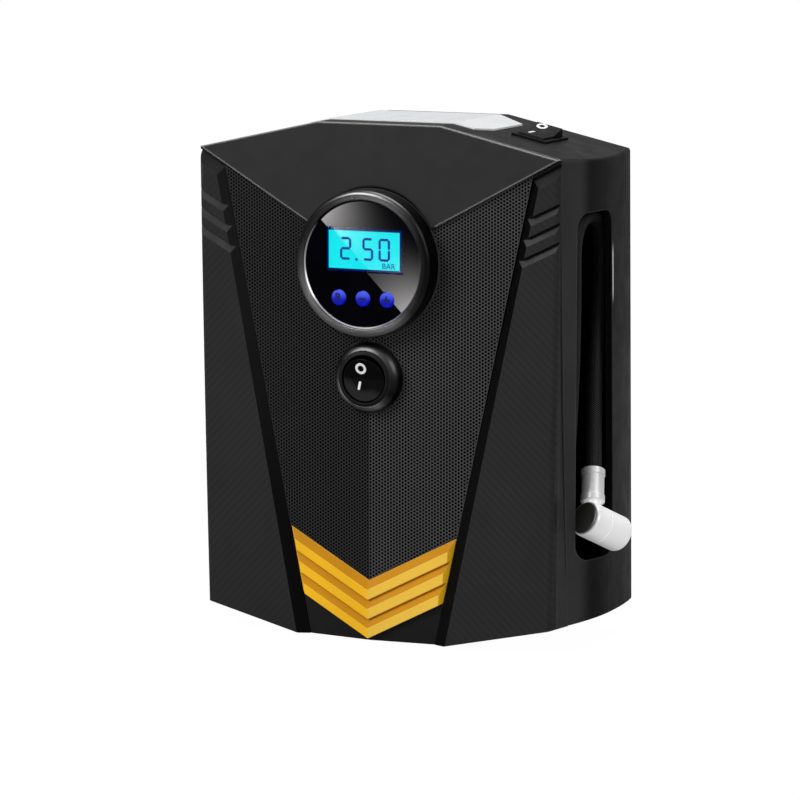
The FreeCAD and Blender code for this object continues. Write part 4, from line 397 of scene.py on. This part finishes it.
def makeChuckFinish(setup):  # a painted dark reflection on the closed end, with a bright rounded rim
    material, tree, shader = newMaterial("satinNickel", 0.32, metallic=0.30, specular=0.6)
    into = tuple(Vector(setup["axis"]).normalized())
    offset = addNode(tree, "VectorMath", {0: objectPlace(tree), 1: setup["mouth"]}, operation="SUBTRACT").outputs[0]
    depth = addNode(tree, "VectorMath", {0: offset, 1: into}, operation="DOT_PRODUCT").outputs["Value"]
    wide = addNode(tree, "VectorMath", {0: offset, 1: into}, operation="CROSS_PRODUCT").outputs[0]
    reach = addNode(tree, "VectorMath", {0: wide}, operation="LENGTH").outputs["Value"]
    ended = maths(tree, "MULTIPLY", ramp(tree, depth, *setup["end"]), ramp(tree, reach, *setup["face"]))
    colour = blendColour(tree, ended, setup["metal"], setup["turned"])
    surface(tree, shader, colour, grain=0.0003, depth=0.000001, edge=0.0003, spread=0.05, wear=0.0,
            relief=scratches(tree, 0.0003, setup["brushed"], 0.000002))
    # painted glow: the chuck's colour is also given off as light, though it is no lamp
    lightUp(tree, shader, colour, setup["gleam"])
    return material


dress(steelFinish, "case_screws", "motor_can", "motor_rotor", "gear_axle", "head_screws", "frame_screws")
dress(ironFinish, "motor_magnets", "crank_gear")
dress(castFinish, "compressor_frame", "piston_rod", "cylinder", "cylinder_head")
dress(brassFinish, "switch_terminals", "motor_pinion", "air_tee", "hose_outlet_elbow", "outlet_nut")
dress(ferruleFinish, "hose_ferrule")
dress(makeChuckFinish(chuck), "chuck_elbow", "chuck_cap")
print("plain finishes done")


# air hose: a free cord in the right recess

hose = {
    "diameter": 0.0062, "length": 0.349, "step": 0.0006, "round": 40, "plaits": 8, "lay": 0.0125, "relief": 0.00016,
    "strands": 16, "strandHeight": 0.00006, "black": (0.0016, 0.0016, 0.0018), "glint": (0.060, 0.060, 0.062),
    "knot": (0.55, 0.95),
    "route": [(0.056, 0.016, 0.144), (0.056, 0.016, 0.122), (0.057, 0.0156, 0.096), (0.056, 0.0165, 0.068),
              (0.0565, 0.0155, 0.040), (0.0665, -0.008, 0.040), (0.068, -0.0084, 0.065), (0.0695, -0.0078, 0.094),
              (0.0705, -0.0086, 0.126), (0.070, -0.008, 0.157), (0.0703, 0.019, 0.157), (0.0703, 0.017, 0.126),
              (0.0705, 0.0115, 0.098)],
    "chuckMouth": chuck["mouth"], "chuckAxis": chuck["axis"], "chuckPort": 0.0154,
    "ferruleAxis": (-0.2, 0.5, 0.84), "ferruleReach": 0.0201, "ferruleLength": 0.0126,
}


def hoseEnds(setup):  # the route's last two points: above the ferrule and inside it, in line with it
    axis = Vector(setup["ferruleAxis"]).normalized()
    port = Vector(setup["chuckMouth"]) + Vector(setup["chuckAxis"]).normalized() * setup["chuckPort"]
    end = port + axis * setup["ferruleReach"]
    return [end + axis * setup["ferruleLength"], end]


def splineCurve(name, points):
    curve = bpy.data.curves.new(name, "CURVE")
    curve.dimensions = "3D"
    spline = curve.splines.new("NURBS")
    spline.points.add(len(points) - 1)
    for slot, point in zip(spline.points, points):
        slot.co = (*point, 1.0)
    spline.order_u = 3
    spline.use_endpoint_u = True
    spline.resolution_u = 24
    return bpy.data.objects.new(name, curve)


def smoothPath(points, step):  # the smooth line that the route's points control, in even steps
    guide = splineCurve("hoseGuide", points)
    scene.collection.objects.link(guide)
    bpy.context.view_layer.update()
    line = bpy.data.meshes.new_from_object(guide.evaluated_get(bpy.context.evaluated_depsgraph_get()))
    places = [vertex.co.copy() for vertex in line.vertices]
    bpy.data.meshes.remove(line)
    bpy.data.objects.remove(guide)
    travelled = [0.0]
    for before, after in zip(places, places[1:]):
        travelled.append(travelled[-1] + (after - before).length)
    count = round(travelled[-1] / step)
    even = []
    span = 0
    for i in range(count + 1):
        wanted = travelled[-1] * i / count
        while span < len(places) - 2 and travelled[span + 1] < wanted:
            span += 1
        share = (wanted - travelled[span]) / max(travelled[span + 1] - travelled[span], 1e-9)
        even.append(places[span].lerp(places[span + 1], share))
    return even


def braidHeight(around, along, setup):  # strands of both hands pass over and under each other
    turns = along / setup["lay"]
    first = setup["plaits"] * (around + turns)
    second = setup["plaits"] * (around - turns)
    over = (math.floor(first) + math.floor(second)) % 2
    across = first if over else second
    return abs(math.sin(math.pi * across))


def makeHose(setup, material):
    path = smoothPath([Vector(point) for point in setup["route"]] + hoseEnds(setup), setup["step"])
    bm = bmesh.new()
    count = setup["round"]
    radius = setup["diameter"] / 2 - setup["relief"]
    ring = bmesh.ops.create_circle(bm, segments=count, radius=1.0, cap_ends=True)["verts"]
    edges = bm.edges[:]
    side = Vector((1.0, 0.0, 0.0))
    places = {}
    for i, place in enumerate(path):
        ahead = (path[min(i + 1, len(path) - 1)] - path[max(i - 1, 0)]).normalized()
        side = (side - ahead * side.dot(ahead)).normalized()
        other = ahead.cross(side)
        if i:
            made = bmesh.ops.extrude_edge_only(bm, edges=edges)["geom"]
            edges = [item for item in made if isinstance(item, bmesh.types.BMEdge)
                     and all(vertex in made for vertex in item.verts)]
            ring = [item for item in made if isinstance(item, bmesh.types.BMVert)]
        along = i * setup["step"]
        for k, vertex in enumerate(ring):
            places[vertex] = (k, along)
            turn = 2 * math.pi * k / count
            reach = radius + setup["relief"] * braidHeight(k / count, along, setup)
            vertex.co = place + (side * math.cos(turn) + other * math.sin(turn)) * reach
    bmesh.ops.edgeloop_fill(bm, edges=edges)
    braid = bm.loops.layers.uv.new("braid")
    for face in bm.faces:
        turns = [places[loop.vert][0] for loop in face.loops]
        for loop, turn in zip(face.loops, turns):
            wrapped = turn + count if len(turns) == 4 and turn < count / 2 < max(turns) - turn else turn
            loop[braid].uv = (wrapped / count, places[loop.vert][1] / setup["lay"])
    piece = addPiece("air_hose_braided", bm, material, "case", smooth=True)
    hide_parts("air_hose")


def makeHoseFinish(setup):  # fine strands of both hands, with painted glints where they cross
    material, tree, shader = newMaterial("braidBlack", 0.45, specular=0.15)
    around, along, _ = axes(tree, addNode(tree, "UVMap", uv_map="braid").outputs[0])
    waves = [maths(tree, "MULTIPLY", maths(tree, hand, around, along), math.pi * setup["strands"])
             for hand in ("ADD", "SUBTRACT")]
    knot = maths(tree, "MULTIPLY", *(maths(tree, "ABSOLUTE", maths(tree, "SINE", wave)) for wave in waves))
    colour = blendColour(tree, ramp(tree, knot, *setup["knot"]), setup["black"], setup["glint"])
    surface(tree, shader, colour, grain=0.00012, depth=0.00001, edge=0.0001, wear=0.0,
            relief=maths(tree, "MULTIPLY", knot, setup["strandHeight"]))
    return material


makeHose(hose, makeHoseFinish(hose))
print("hose done")


# front grille: a perforated sheet with blind hexagon holes, folded along the middle

grille = {
    "corner": 0.00075, "rim": 0.00022, "pocket": 0.00028, "sheet": 0.00035, "proud": 0.00030, "least": 0.00028,
    "merge": 0.00005, "sliver": 0.00003, "rows": 121, "pairs": 27, "lowest": 0.022,
    "foldY": -0.0315, "foldSlope": 0.10, "borderX": 0.0250, "borderLean": 0.2122, "browZ": 0.1398, "browSlope": 0.548,
    "chevronZ": 0.0234, "chevronSlope": 0.515, "holes": ((0.1401, 0.0270), (0.0982, 0.0131)),
    "left": (0.0128, 0.0128, 0.0135), "right": (0.0435, 0.0435, 0.0450),
}


def makeGrilleFinish(setup):  # painted light: the right half of the fold is painted paler than the left
    material, tree, shader = newMaterial("grilleBlack", 0.45, specular=0.25)
    across, _, _ = axes(tree)
    half = blendColour(tree, ramp(tree, across, -0.0002, 0.0002), setup["left"], setup["right"])
    paint(tree, shader, scaleColour(tree, half, drift(tree, 0.02, 0.92, 1.08, 3.0)))
    grain = maths(tree, "MULTIPLY", noise(tree, 0.0003), 0.000006)
    bump = addNode(tree, "Bump", {"Height": grain, "Distance": 1.0})
    tree.links.new(bump.outputs[0], shader.inputs["Normal"])
    return material


def makeGrille(setup, finishes):
    bm = bmesh.new()
    corner = setup["corner"]
    pitch = corner * math.sqrt(3.0)
    bmesh.ops.create_circle(bm, segments=6, radius=corner, cap_ends=True)
    bmesh.ops.rotate(bm, verts=bm.verts, matrix=Matrix.Rotation(math.radians(30), 3, "Z"))
    bmesh.ops.translate(bm, verts=bm.verts, vec=(0.75 * corner, setup["lowest"], 0.0))
    whole = lambda: bm.verts[:] + bm.edges[:] + bm.faces[:]
    bmesh.ops.spin(bm, geom=whole(), axis=(0, 0, 1), dvec=(0, pitch, 0), steps=setup["rows"], use_duplicate=True)
    twin = bmesh.ops.duplicate(bm, geom=whole())["geom"]
    bmesh.ops.translate(bm, verts=[item for item in twin if isinstance(item, bmesh.types.BMVert)],
                        vec=(1.5 * corner, pitch / 2, 0.0))
    bmesh.ops.spin(bm, geom=whole(), axis=(0, 0, 1), dvec=(3.0 * corner, 0, 0), steps=setup["pairs"],
                   use_duplicate=True)
    bmesh.ops.remove_doubles(bm, verts=bm.verts, dist=setup["merge"])
    trims = (((0, 0, 0), (-1, 0, 0)), ((setup["borderX"], 0, 0), (1, -setup["borderLean"], 0)),
             ((0, setup["browZ"], 0), (-setup["browSlope"], 1, 0)),
             ((0, setup["chevronZ"], 0), (setup["chevronSlope"], -1, 0)))
    for place, outwards in trims:
        bmesh.ops.bisect_plane(bm, geom=whole(), dist=1e-6, plane_co=place, plane_no=outwards, clear_outer=True)
    for height, radius in setup["holes"]:
        middle = Vector((0, height, 0))
        within = lambda vertex: (vertex.co - middle).length < radius
        bmesh.ops.delete(bm, geom=[face for face in bm.faces if all(within(v) for v in face.verts)], context="FACES")
        for vertex in [v for v in bm.verts if within(v)]:
            if vertex.co.x < 1e-6:
                vertex.co.y = height + math.copysign(radius, vertex.co.y - height)
            else:
                vertex.co = middle + (vertex.co - middle).normalized() * radius
    bmesh.ops.dissolve_degenerate(bm, edges=bm.edges, dist=setup["sliver"])
    cells = [face for face in bm.faces if 2 * face.calc_area() / face.calc_perimeter() > setup["least"]]
    bmesh.ops.inset_individual(bm, faces=cells, thickness=setup["rim"], use_even_offset=True)
    floors = bmesh.ops.extrude_discrete_faces(bm, faces=cells)["faces"]
    bmesh.ops.translate(bm, verts=list({v for face in floors for v in face.verts}), vec=(0, 0, -setup["pocket"]))
    for face in bm.faces:
        if any(v.co.z < -1e-6 for v in face.verts):
            face.material_index = 1
    rimEdges = [edge for edge in bm.edges if edge.is_boundary]
    walls = bmesh.ops.extrude_edge_only(bm, edges=rimEdges)["geom"]
    fresh = {item for item in walls if isinstance(item, bmesh.types.BMVert)}
    bmesh.ops.translate(bm, verts=list(fresh), vec=(0, 0, -setup["sheet"]))
    loop = [edge for edge in bm.edges if edge.is_boundary and all(v in fresh for v in edge.verts)]
    bmesh.ops.triangle_fill(bm, edges=loop, use_beauty=True, normal=(0, 0, -1))
    seam = [face for face in bm.faces if all(abs(v.co.x) < 1e-6 for v in face.verts)]
    bmesh.ops.delete(bm, geom=seam, context="FACES_ONLY")
    bmesh.ops.mirror(bm, geom=whole(), axis="X", merge_dist=1e-6)
    front = setup["foldY"] - setup["proud"]
    for vertex in bm.verts:
        across, up, deep = vertex.co
        vertex.co = (across, front + setup["foldSlope"] * abs(across) - deep, up)
    print("grille holes", 2 * len(cells), "faces", len(bm.faces))
    addPiece("front_grille", bm, finishes, "case")


# hole floors: matt black without specular, painted shade in the holes
pocketFinish = plasticFinish("pocketBlack", (0.0050, 0.0050, 0.0054), 0.8, specular=0.0, grain=0.0006,
                             depth=0.000004, wear=0.0)
makeGrille(grille, [makeGrilleFinish(grille), pocketFinish])


# gauge: smoked bezel, printed lens with a clear window, lit display and keys; the bezel and power ring get painted
# reflections round the dial and a painted highlight at the bezel's inner lip, greys by the share of a turn from
# twelve o'clock on

gauge = {
    "middle": (0.0, 0.1401), "window": (0.0158, 0.0081, 0.0006, 0.1452), "lit": (0.0142, 0.0069, -0.0004, 0.1450),
    "glow": 0.0014, "lens": ((0.0012, 0.0011, 0.0020), (0.0018, 0.0016, 0.0028)), "windowTint": 0.06,
    "cyan": ((0.0, 0.86, 0.92), (0.1, 0.93, 1.0)), "navy": (0.0, 0.012, 0.16), "ink": (0.004, 0.040, 0.37),
    "panel": ((0.002, 0.002, 0.003), (0.01, 0.06, 0.07)), "keyInk": (0.0, 0.002, 0.10),
    "keyLow": (0.0006, 0.003, 0.36), "keyHigh": (0.075, 0.115, 0.80), "keyUp": (0.1264, 0.1304),
    "clock": ((0.0, 0.12), (0.05, 0.14), (0.083, 0.11), (0.13, 0.04), (0.19, 0.014), (0.30, 0.012), (0.36, 0.03),
              (0.417, 0.16), (0.5, 0.10), (0.583, 0.13), (0.667, 0.18), (0.74, 0.06), (0.80, 0.018), (0.87, 0.02),
              (0.92, 0.035), (1.0, 0.12)),
    "lip": ((0.0, 0.0), (0.2, 0.0), (0.25, 0.7), (0.5, 0.9), (0.75, 0.7), (0.84, 0.2), (0.86, 0.0), (1.0, 0.0)),
    "lipAt": (0.02340, 0.02322),
}
powerRing = {
    "middle": (0.0, 0.0982),
    "clock": ((0.0, 0.055), (0.08, 0.11), (0.17, 0.07), (0.25, 0.022), (0.33, 0.009), (0.375, 0.05), (0.42, 0.20),
              (0.5, 0.09), (0.58, 0.07), (0.67, 0.26), (0.75, 0.06), (0.83, 0.012), (0.92, 0.06), (1.0, 0.055)),
}


def rectangle(tree, halfWidth, halfHeight, middleX, middleZ):  # distance outside it in the front view
    across, _, up = axes(tree)
    wide = maths(tree, "SUBTRACT", maths(tree, "ABSOLUTE", maths(tree, "SUBTRACT", across, middleX)), halfWidth)
    tall = maths(tree, "SUBTRACT", maths(tree, "ABSOLUTE", maths(tree, "SUBTRACT", up, middleZ)), halfHeight)
    return maths(tree, "MAXIMUM", wide, tall)


def clockShade(tree, share, stops):  # painted reflections: a grey that changes round a dial, from twelve o'clock on
    made = addNode(tree, "ValToRGB", {"Fac": share})
    elements = made.color_ramp.elements
    for place, _ in stops[1:-1]:
        elements.new(place)
    for element, (place, value) in zip(elements, stops):
        element.position = place
        element.color = (value, value, value * 1.02, 1.0)
    return made.outputs[0]


def makeSpunFinish(name, setup, roughness):  # metal with painted reflections that run round the dial, and a painted highlight at the inner lip where given
    material, tree, shader = newMaterial(name, roughness, metallic=1.0)
    across, away, reach = fromMiddle(tree, setup["middle"])
    turn = maths(tree, "DIVIDE", maths(tree, "ARCTAN2", across, away), 2 * math.pi)
    share = maths(tree, "FRACT", maths(tree, "ADD", turn, 1.0))
    tint = clockShade(tree, share, setup["clock"])
    if "lip" in setup:
        tint = blendColour(tree, ramp(tree, reach, *setup["lipAt"]), tint, clockShade(tree, share, setup["lip"]))
    surface(tree, shader, tint, grain=0.0003, depth=0.000001, edge=0.0003, spread=0.03, wear=0.1,
            relief=scratches(tree, 0.0002, (0.2, 1.0, 0.2), 0.000002, 2.0), wornTo=(0.62, 0.62, 0.63))
    return material


def makeLensFinish(setup):  # clear window in a lens that is printed black on its back
    material, tree, shader = newMaterial("printedLens", 0.006, specular=0.25)
    paint(tree, shader, blendColour(tree, drift(tree, 0.02), *setup["lens"]))
    printed = ramp(tree, rectangle(tree, *setup["window"]), -0.0001, 0.0001, setup["windowTint"], 1.0)
    tree.links.new(printed, shader.inputs["Alpha"])
    return material


def makeDisplayFinish(setup):
    material, tree, shader = newMaterial("litDisplay", 0.006, specular=0.25)
    distance = rectangle(tree, *setup["lit"])
    lit = ramp(tree, distance, 0.00012, -0.00012)
    dark = blendColour(tree, ramp(tree, distance, setup["glow"], 0.0), (0.0, 0.0, 0.0), setup["navy"])
    cyan = blendColour(tree, drift(tree, 0.012, 0.0, 0.10), *setup["cyan"])
    lightUp(tree, shader, blendColour(tree, lit, dark, cyan))
    paint(tree, shader, blendColour(tree, lit, *setup["panel"]))
    return material


def makeKeyFinish(setup):
    material, tree, shader = newMaterial("litKey", 0.5, specular=0.08)
    _, _, up = axes(tree)
    # lit from behind, with a painted highlight that pales the top of each key
    lightUp(tree, shader, blendColour(tree, ramp(tree, up, *setup["keyUp"]), setup["keyLow"], setup["keyHigh"]))
    paint(tree, shader, blendColour(tree, drift(tree, 0.001, 0.0, 0.2), (0.002, 0.004, 0.05), (0.003, 0.006, 0.07)))
    return material


def inkFinish(name, colour):  # print that the backlight shines through
    material, tree, shader = newMaterial(name, 0.5, specular=0.2)
    patches = drift(tree, 0.002)
    lightUp(tree, shader, blendColour(tree, patches, colour, tuple(0.85 * part for part in colour)))
    paint(tree, shader, blendColour(tree, patches, (0.002, 0.003, 0.01), (0.003, 0.005, 0.02)))
    return material


dress(makeSpunFinish("smokedChrome", gauge, 0.30), "gauge_bezel")
dress(makeSpunFinish("smokedGrey", powerRing, 0.32), "power_switch_ring")
dress(makeLensFinish(gauge), "gauge_lens")
dress(makeDisplayFinish(gauge), "lcd_module")
dress(makeKeyFinish(gauge), "key_reset", "key_minus", "key_plus")


# printed marks: flat outlines drawn in a plane, given a thickness and set on what carries them

def frontFrame(place, tilt=0.0):  # a plane that faces forwards; tilt leans its top towards the front
    rise = Vector((0.0, -tilt, 1.0)).normalized()
    return Matrix.Translation(place) @ Matrix(((1, 0, 0), rise, Vector((1, 0, 0)).cross(rise))).transposed().to_4x4()


def printMark(name, bm, frameOf, material, body, thickness=0.0001):
    for face in bm.faces:
        if face.normal.z < 0:
            face.normal_flip()
    made = bmesh.ops.extrude_face_region(bm, geom=bm.faces[:])["geom"]
    bmesh.ops.translate(bm, verts=[item for item in made if isinstance(item, bmesh.types.BMVert)],
                        vec=(0, 0, thickness))
    bmesh.ops.translate(bm, verts=bm.verts, vec=(0, 0, -thickness / 2))
    bmesh.ops.transform(bm, verts=bm.verts, matrix=frameOf)
    addPiece(name, bm, material, body)


def drawRing(bm, radius, stroke):
    before = set(bm.faces)
    bmesh.ops.create_circle(bm, segments=48, radius=radius, cap_ends=True)
    disc = [face for face in bm.faces if face not in before]
    bmesh.ops.inset_individual(bm, faces=disc, thickness=stroke)
    bmesh.ops.delete(bm, geom=disc, context="FACES_ONLY")


def drawBar(bm, length, stroke, segments=6, turn=0.0, place=(0.0, 0.0)):  # its length runs up before the turn
    fresh = bmesh.ops.create_circle(bm, segments=segments, radius=stroke / 2, cap_ends=True)["verts"]
    for vertex in fresh:
        vertex.co.y += math.copysign(length / 2 - stroke / 2, vertex.co.y) if abs(vertex.co.y) > 1e-7 else 0.0
    bmesh.ops.rotate(bm, verts=fresh, matrix=Matrix.Rotation(turn, 3, "Z"))
    bmesh.ops.translate(bm, verts=fresh, vec=(*place, 0.0))


display = {
    "front": -0.03495, "low": 0.1412, "height": 0.0084, "stroke": 0.00100, "gap": 0.00022,
    "digits": (("2", -0.0078, 0.0046), ("5", 0.0011, 0.0044), ("0", 0.00768, 0.0047)),
    "point": (-0.0035, 0.1415), "pointLength": 0.0011, "pointStroke": 0.00095,
    "unit": "BAR", "unitPlace": (0.0094, 0.13945), "unitHeight": 0.0021,
}
segmentsOf = {"0": "abcdef", "2": "abged", "5": "afgcd"}


def makeDigit(setup, digit, across, width, material):
    bm = bmesh.new()
    half = setup["height"] / 2
    inner, tall = width / 2 - setup["stroke"] / 2, half - setup["stroke"] / 2
    places = {"a": (0, 2 * tall, 0), "g": (0, tall, 0), "d": (0, 0, 0), "b": (inner, 1.5 * tall, 1),
              "c": (inner, 0.5 * tall, 1), "f": (-inner, 1.5 * tall, 1), "e": (-inner, 0.5 * tall, 1)}
    for key in segmentsOf[digit]:
        x, y, upright = places[key]
        length = (tall if upright else 2 * inner) - setup["gap"]
        drawBar(bm, length, setup["stroke"], turn=0.0 if upright else math.pi / 2, place=(x, y))
    place = (across, setup["front"], setup["low"] + setup["stroke"] / 2)
    printMark("digit_" + digit, bm, frontFrame(place), material, "case")


def makeWord(name, words, place, height, material, body, heavy=0.0):
    curve = bpy.data.curves.new(name, "FONT")
    curve.body = words
    curve.align_x, curve.align_y = "CENTER", "CENTER"
    curve.size = 1.4 * height  # a capital letter is about 0.7 of the size
    curve.offset = heavy
    holder = bpy.data.objects.new(name + "Draft", curve)
    scene.collection.objects.link(holder)
    bpy.context.view_layer.update()
    flat = bpy.data.meshes.new_from_object(holder.evaluated_get(bpy.context.evaluated_depsgraph_get()))
    bm = bmesh.new()
    bm.from_mesh(flat)
    bpy.data.objects.remove(holder)
    bpy.data.meshes.remove(flat)
    bmesh.ops.remove_doubles(bm, verts=bm.verts, dist=1e-7)
    printMark(name, bm, frontFrame(place), material, body)


def makeDisplay(setup, material):
    for digit, across, width in setup["digits"]:
        makeDigit(setup, digit, across, width, material)
    across, up = setup["point"]
    bm = bmesh.new()
    drawBar(bm, setup["pointLength"], setup["pointStroke"], segments=12)
    printMark("decimal_point", bm, frontFrame((across, setup["front"], up)), material, "case")
    across, up = setup["unitPlace"]
    makeWord("unit_mark", setup["unit"], (across, setup["front"], up), setup["unitHeight"], material, "case")


makeDisplay(display, inkFinish("displayInk", gauge["ink"]))

keyMarks = {
    "front": -0.0375, "z": 0.1276, "pitch": 0.00965, "length": 0.0030, "stroke": 0.00072, "heavy": 0.00012,
    "bars": (("minus_mark", "key_minus", 0, True, 0.0001), ("plus_mark", "key_plus", 1, True, 0.0001),
             ("plus_mark_upright", "key_plus", 1, False, 0.00012)),
}


def makeKeyMarks(setup, material):
    place = lambda key: (key * setup["pitch"], setup["front"], setup["z"])
    makeWord("reset_mark", "R", place(-1), setup["length"], material, "key_reset", heavy=setup["heavy"])
    for name, body, key, level, thickness in setup["bars"]:
        bm = bmesh.new()
        drawBar(bm, setup["length"], setup["stroke"], segments=12, turn=math.pi / 2 if level else 0.0)
        printMark(name, bm, frontFrame(place(key)), material, body, thickness)


makeKeyMarks(keyMarks, inkFinish("keyInk", gauge["keyInk"]))

powerMarks = {
    "ring": 0.00215, "ringStroke": 0.00098, "bar": 0.0033, "barStroke": 0.00098, "barTurn": -12.0, "tilt": 0.249,
    "ringPlace": (-0.0008, -0.0370, 0.1021), "barPlace": (-0.0018, -0.0360, 0.0957),
}
lampMarks = {
    "ring": 0.0021, "ringStroke": 0.00105, "bar": 0.0052, "barStroke": 0.0011, "barTurn": 0.0, "tilt": 0.325,
    "place": (0.0495, 0.0090, 0.184482), "slope": 0.2225, "ringY": 0.0053, "raised": (-0.0020, 0, 0.0015),
    "level": (-0.0024, -0.0028, 0.0015),
}


def makeSwitchMarks(power, lamp, material):
    shoulder = Matrix.Translation(lamp["place"]) @ Matrix.Rotation(math.atan(lamp["slope"]), 4, "Y")
    raised = (Matrix.Translation(lamp["raised"]) @ Matrix.Rotation(math.atan(lamp["tilt"]), 4, "X")
              @ Matrix.Translation((0, lamp["ringY"], 0)))
    frames = {"power": (frontFrame(power["ringPlace"], power["tilt"]), frontFrame(power["barPlace"])),
              "lamp": (shoulder @ raised, shoulder @ Matrix.Translation(lamp["level"]))}
    for name, setup in (("power", power), ("lamp", lamp)):
        ringFrame, barFrame = frames[name]
        bm = bmesh.new()
        drawRing(bm, setup["ring"], setup["ringStroke"])
        printMark(name + "_off_mark", bm, ringFrame, material, name + "_rocker")
        bm = bmesh.new()
        drawBar(bm, setup["bar"], setup["barStroke"], segments=16, turn=math.radians(setup["barTurn"]))
        printMark(name + "_on_mark", bm, barFrame, material, name + "_rocker")

makeSwitchMarks(powerMarks, lampMarks, markFinish)
print("marks done")


# floor, backdrop and light

studio = {"radius": 6.0, "floor": (0.34, 0.34, 0.34), "glow": 1.06, "share": 0.93, "sky": 1.0, "dim": 0.36}
card = {
    "place": (-0.2147, -0.48, 0.0828), "along": (0.705, 0.0, -0.709), "inwards": (0.709, 0.0, 0.705),
    "half": 0.045, "deep": 0.060, "fade": 0.031, "least": 0.035, "low": 1.7, "ends": 19.0, "endsAt": 0.7,
    "tint": (1.0, 0.97, 0.98, 1.0), "flag": 0.045, "flagPlace": (-0.2147, -0.485, 0.0828),
}
lamps = {
    "key": {"place": (-1.0, -1.4, 1.5), "size": 1.2, "power": 42.0},
    "fill": {"place": (1.6, -0.6, 0.9), "size": 1.0, "power": 8.0},
    "top": {"place": (0.1, 0.5, 1.8), "size": 1.4, "power": 19.0},
}
lampAim = Vector((0, 0, 0.1))


def makeStage(setup):
    white = (1.0, 1.0, 1.0, 1.0)
    bm = bmesh.new()
    bmesh.ops.create_circle(bm, segments=64, radius=setup["radius"], cap_ends=True)
    material, tree, shader = newMaterial("floorPaper", 0.9, specular=0.1)
    shader.inputs["Base Color"].default_value = (*setup["floor"], 1.0)
    glow = addNode(tree, "Emission", {"Color": white, "Strength": setup["glow"]}).outputs[0]
    share = maths(tree, "MULTIPLY", addNode(tree, "LightPath").outputs["Is Camera Ray"], setup["share"])
    mixed = addNode(tree, "MixShader", {0: share, 1: shader.outputs[0], 2: glow}).outputs[0]
    tree.links.new(mixed, tree.nodes["Material Output"].inputs["Surface"])
    meshObject("floor", bm, material)
    scene.world = bpy.data.worlds.new("studio")
    scene.world.use_nodes = True
    tree = scene.world.node_tree
    background = tree.nodes["Background"]
    background.inputs["Color"].default_value = white
    direct = addNode(tree, "LightPath").outputs["Is Camera Ray"]
    strength = maths(tree, "MULTIPLY_ADD", direct, setup["sky"] - setup["dim"], setup["dim"])
    tree.links.new(strength, background.inputs["Strength"])


def blackMaterial(name):
    material, tree, shader = newMaterial(name, 1.0, specular=0.0)
    shader.inputs["Base Color"].default_value = (0.0, 0.0, 0.0, 1.0)
    return material, tree, shader


def reflectedSheet(name, bm, material, place):  # only reflections show it
    sheet = meshObject(name, bm, material)
    sheet.matrix_world = place
    sheet.visible_camera = sheet.visible_shadow = sheet.visible_diffuse = False


# a lit card in front on the left, where the lens mirrors it towards the camera, gives the slanting reflection with
# its hard lower left edge; a black flag right behind the card keeps the rest of the lens dark
def makeCard(setup):
    material, tree, shader = blackMaterial("cardGlow")
    across, deep, _ = axes(tree)
    far = maths(tree, "DIVIDE", maths(tree, "ABSOLUTE", across), setup["half"] * setup["endsAt"])
    strength = maths(tree, "MULTIPLY_ADD", maths(tree, "POWER", far, 2.0), setup["ends"] - setup["low"], setup["low"])
    faded = maths(tree, "MULTIPLY", strength, ramp(tree, deep, setup["fade"], 0.0, setup["least"], 1.0))
    tree.links.new(faded, shader.inputs["Emission Strength"])
    shader.inputs["Emission Color"].default_value = setup["tint"]
    bm = bmesh.new()
    bmesh.ops.create_grid(bm, x_segments=1, y_segments=1, size=1.0)
    bmesh.ops.scale(bm, verts=bm.verts, vec=(setup["half"], setup["deep"] / 2, 1.0))
    bmesh.ops.translate(bm, verts=bm.verts, vec=(0, setup["deep"] / 2, 0))
    along, inwards = Vector(setup["along"]), Vector(setup["inwards"])
    turned = Matrix((along, inwards, along.cross(inwards))).transposed().to_4x4()
    reflectedSheet("lensCard", bm, material, Matrix.Translation(setup["place"]) @ turned)
    bm = bmesh.new()
    bmesh.ops.create_circle(bm, segments=64, radius=setup["flag"], cap_ends=True)
    reflectedSheet("lensFlag", bm, blackMaterial("flagBlack")[0], frontFrame(setup["flagPlace"]))


def makeLights(setup):
    for name, one in setup.items():
        light = bpy.data.lights.new(name, "AREA")
        light.energy, light.size = one["power"], one["size"]
        lamp = bpy.data.objects.new(name, light)
        scene.collection.objects.link(lamp)
        lamp.location = one["place"]
        lamp.rotation_mode = "QUATERNION"
        lamp.rotation_quaternion = (lampAim - Vector(one["place"])).to_track_quat("-Z", "Y")
        lamp.visible_camera = False


makeStage(studio)
makeCard(card)
makeLights(lamps)
print("stage done")
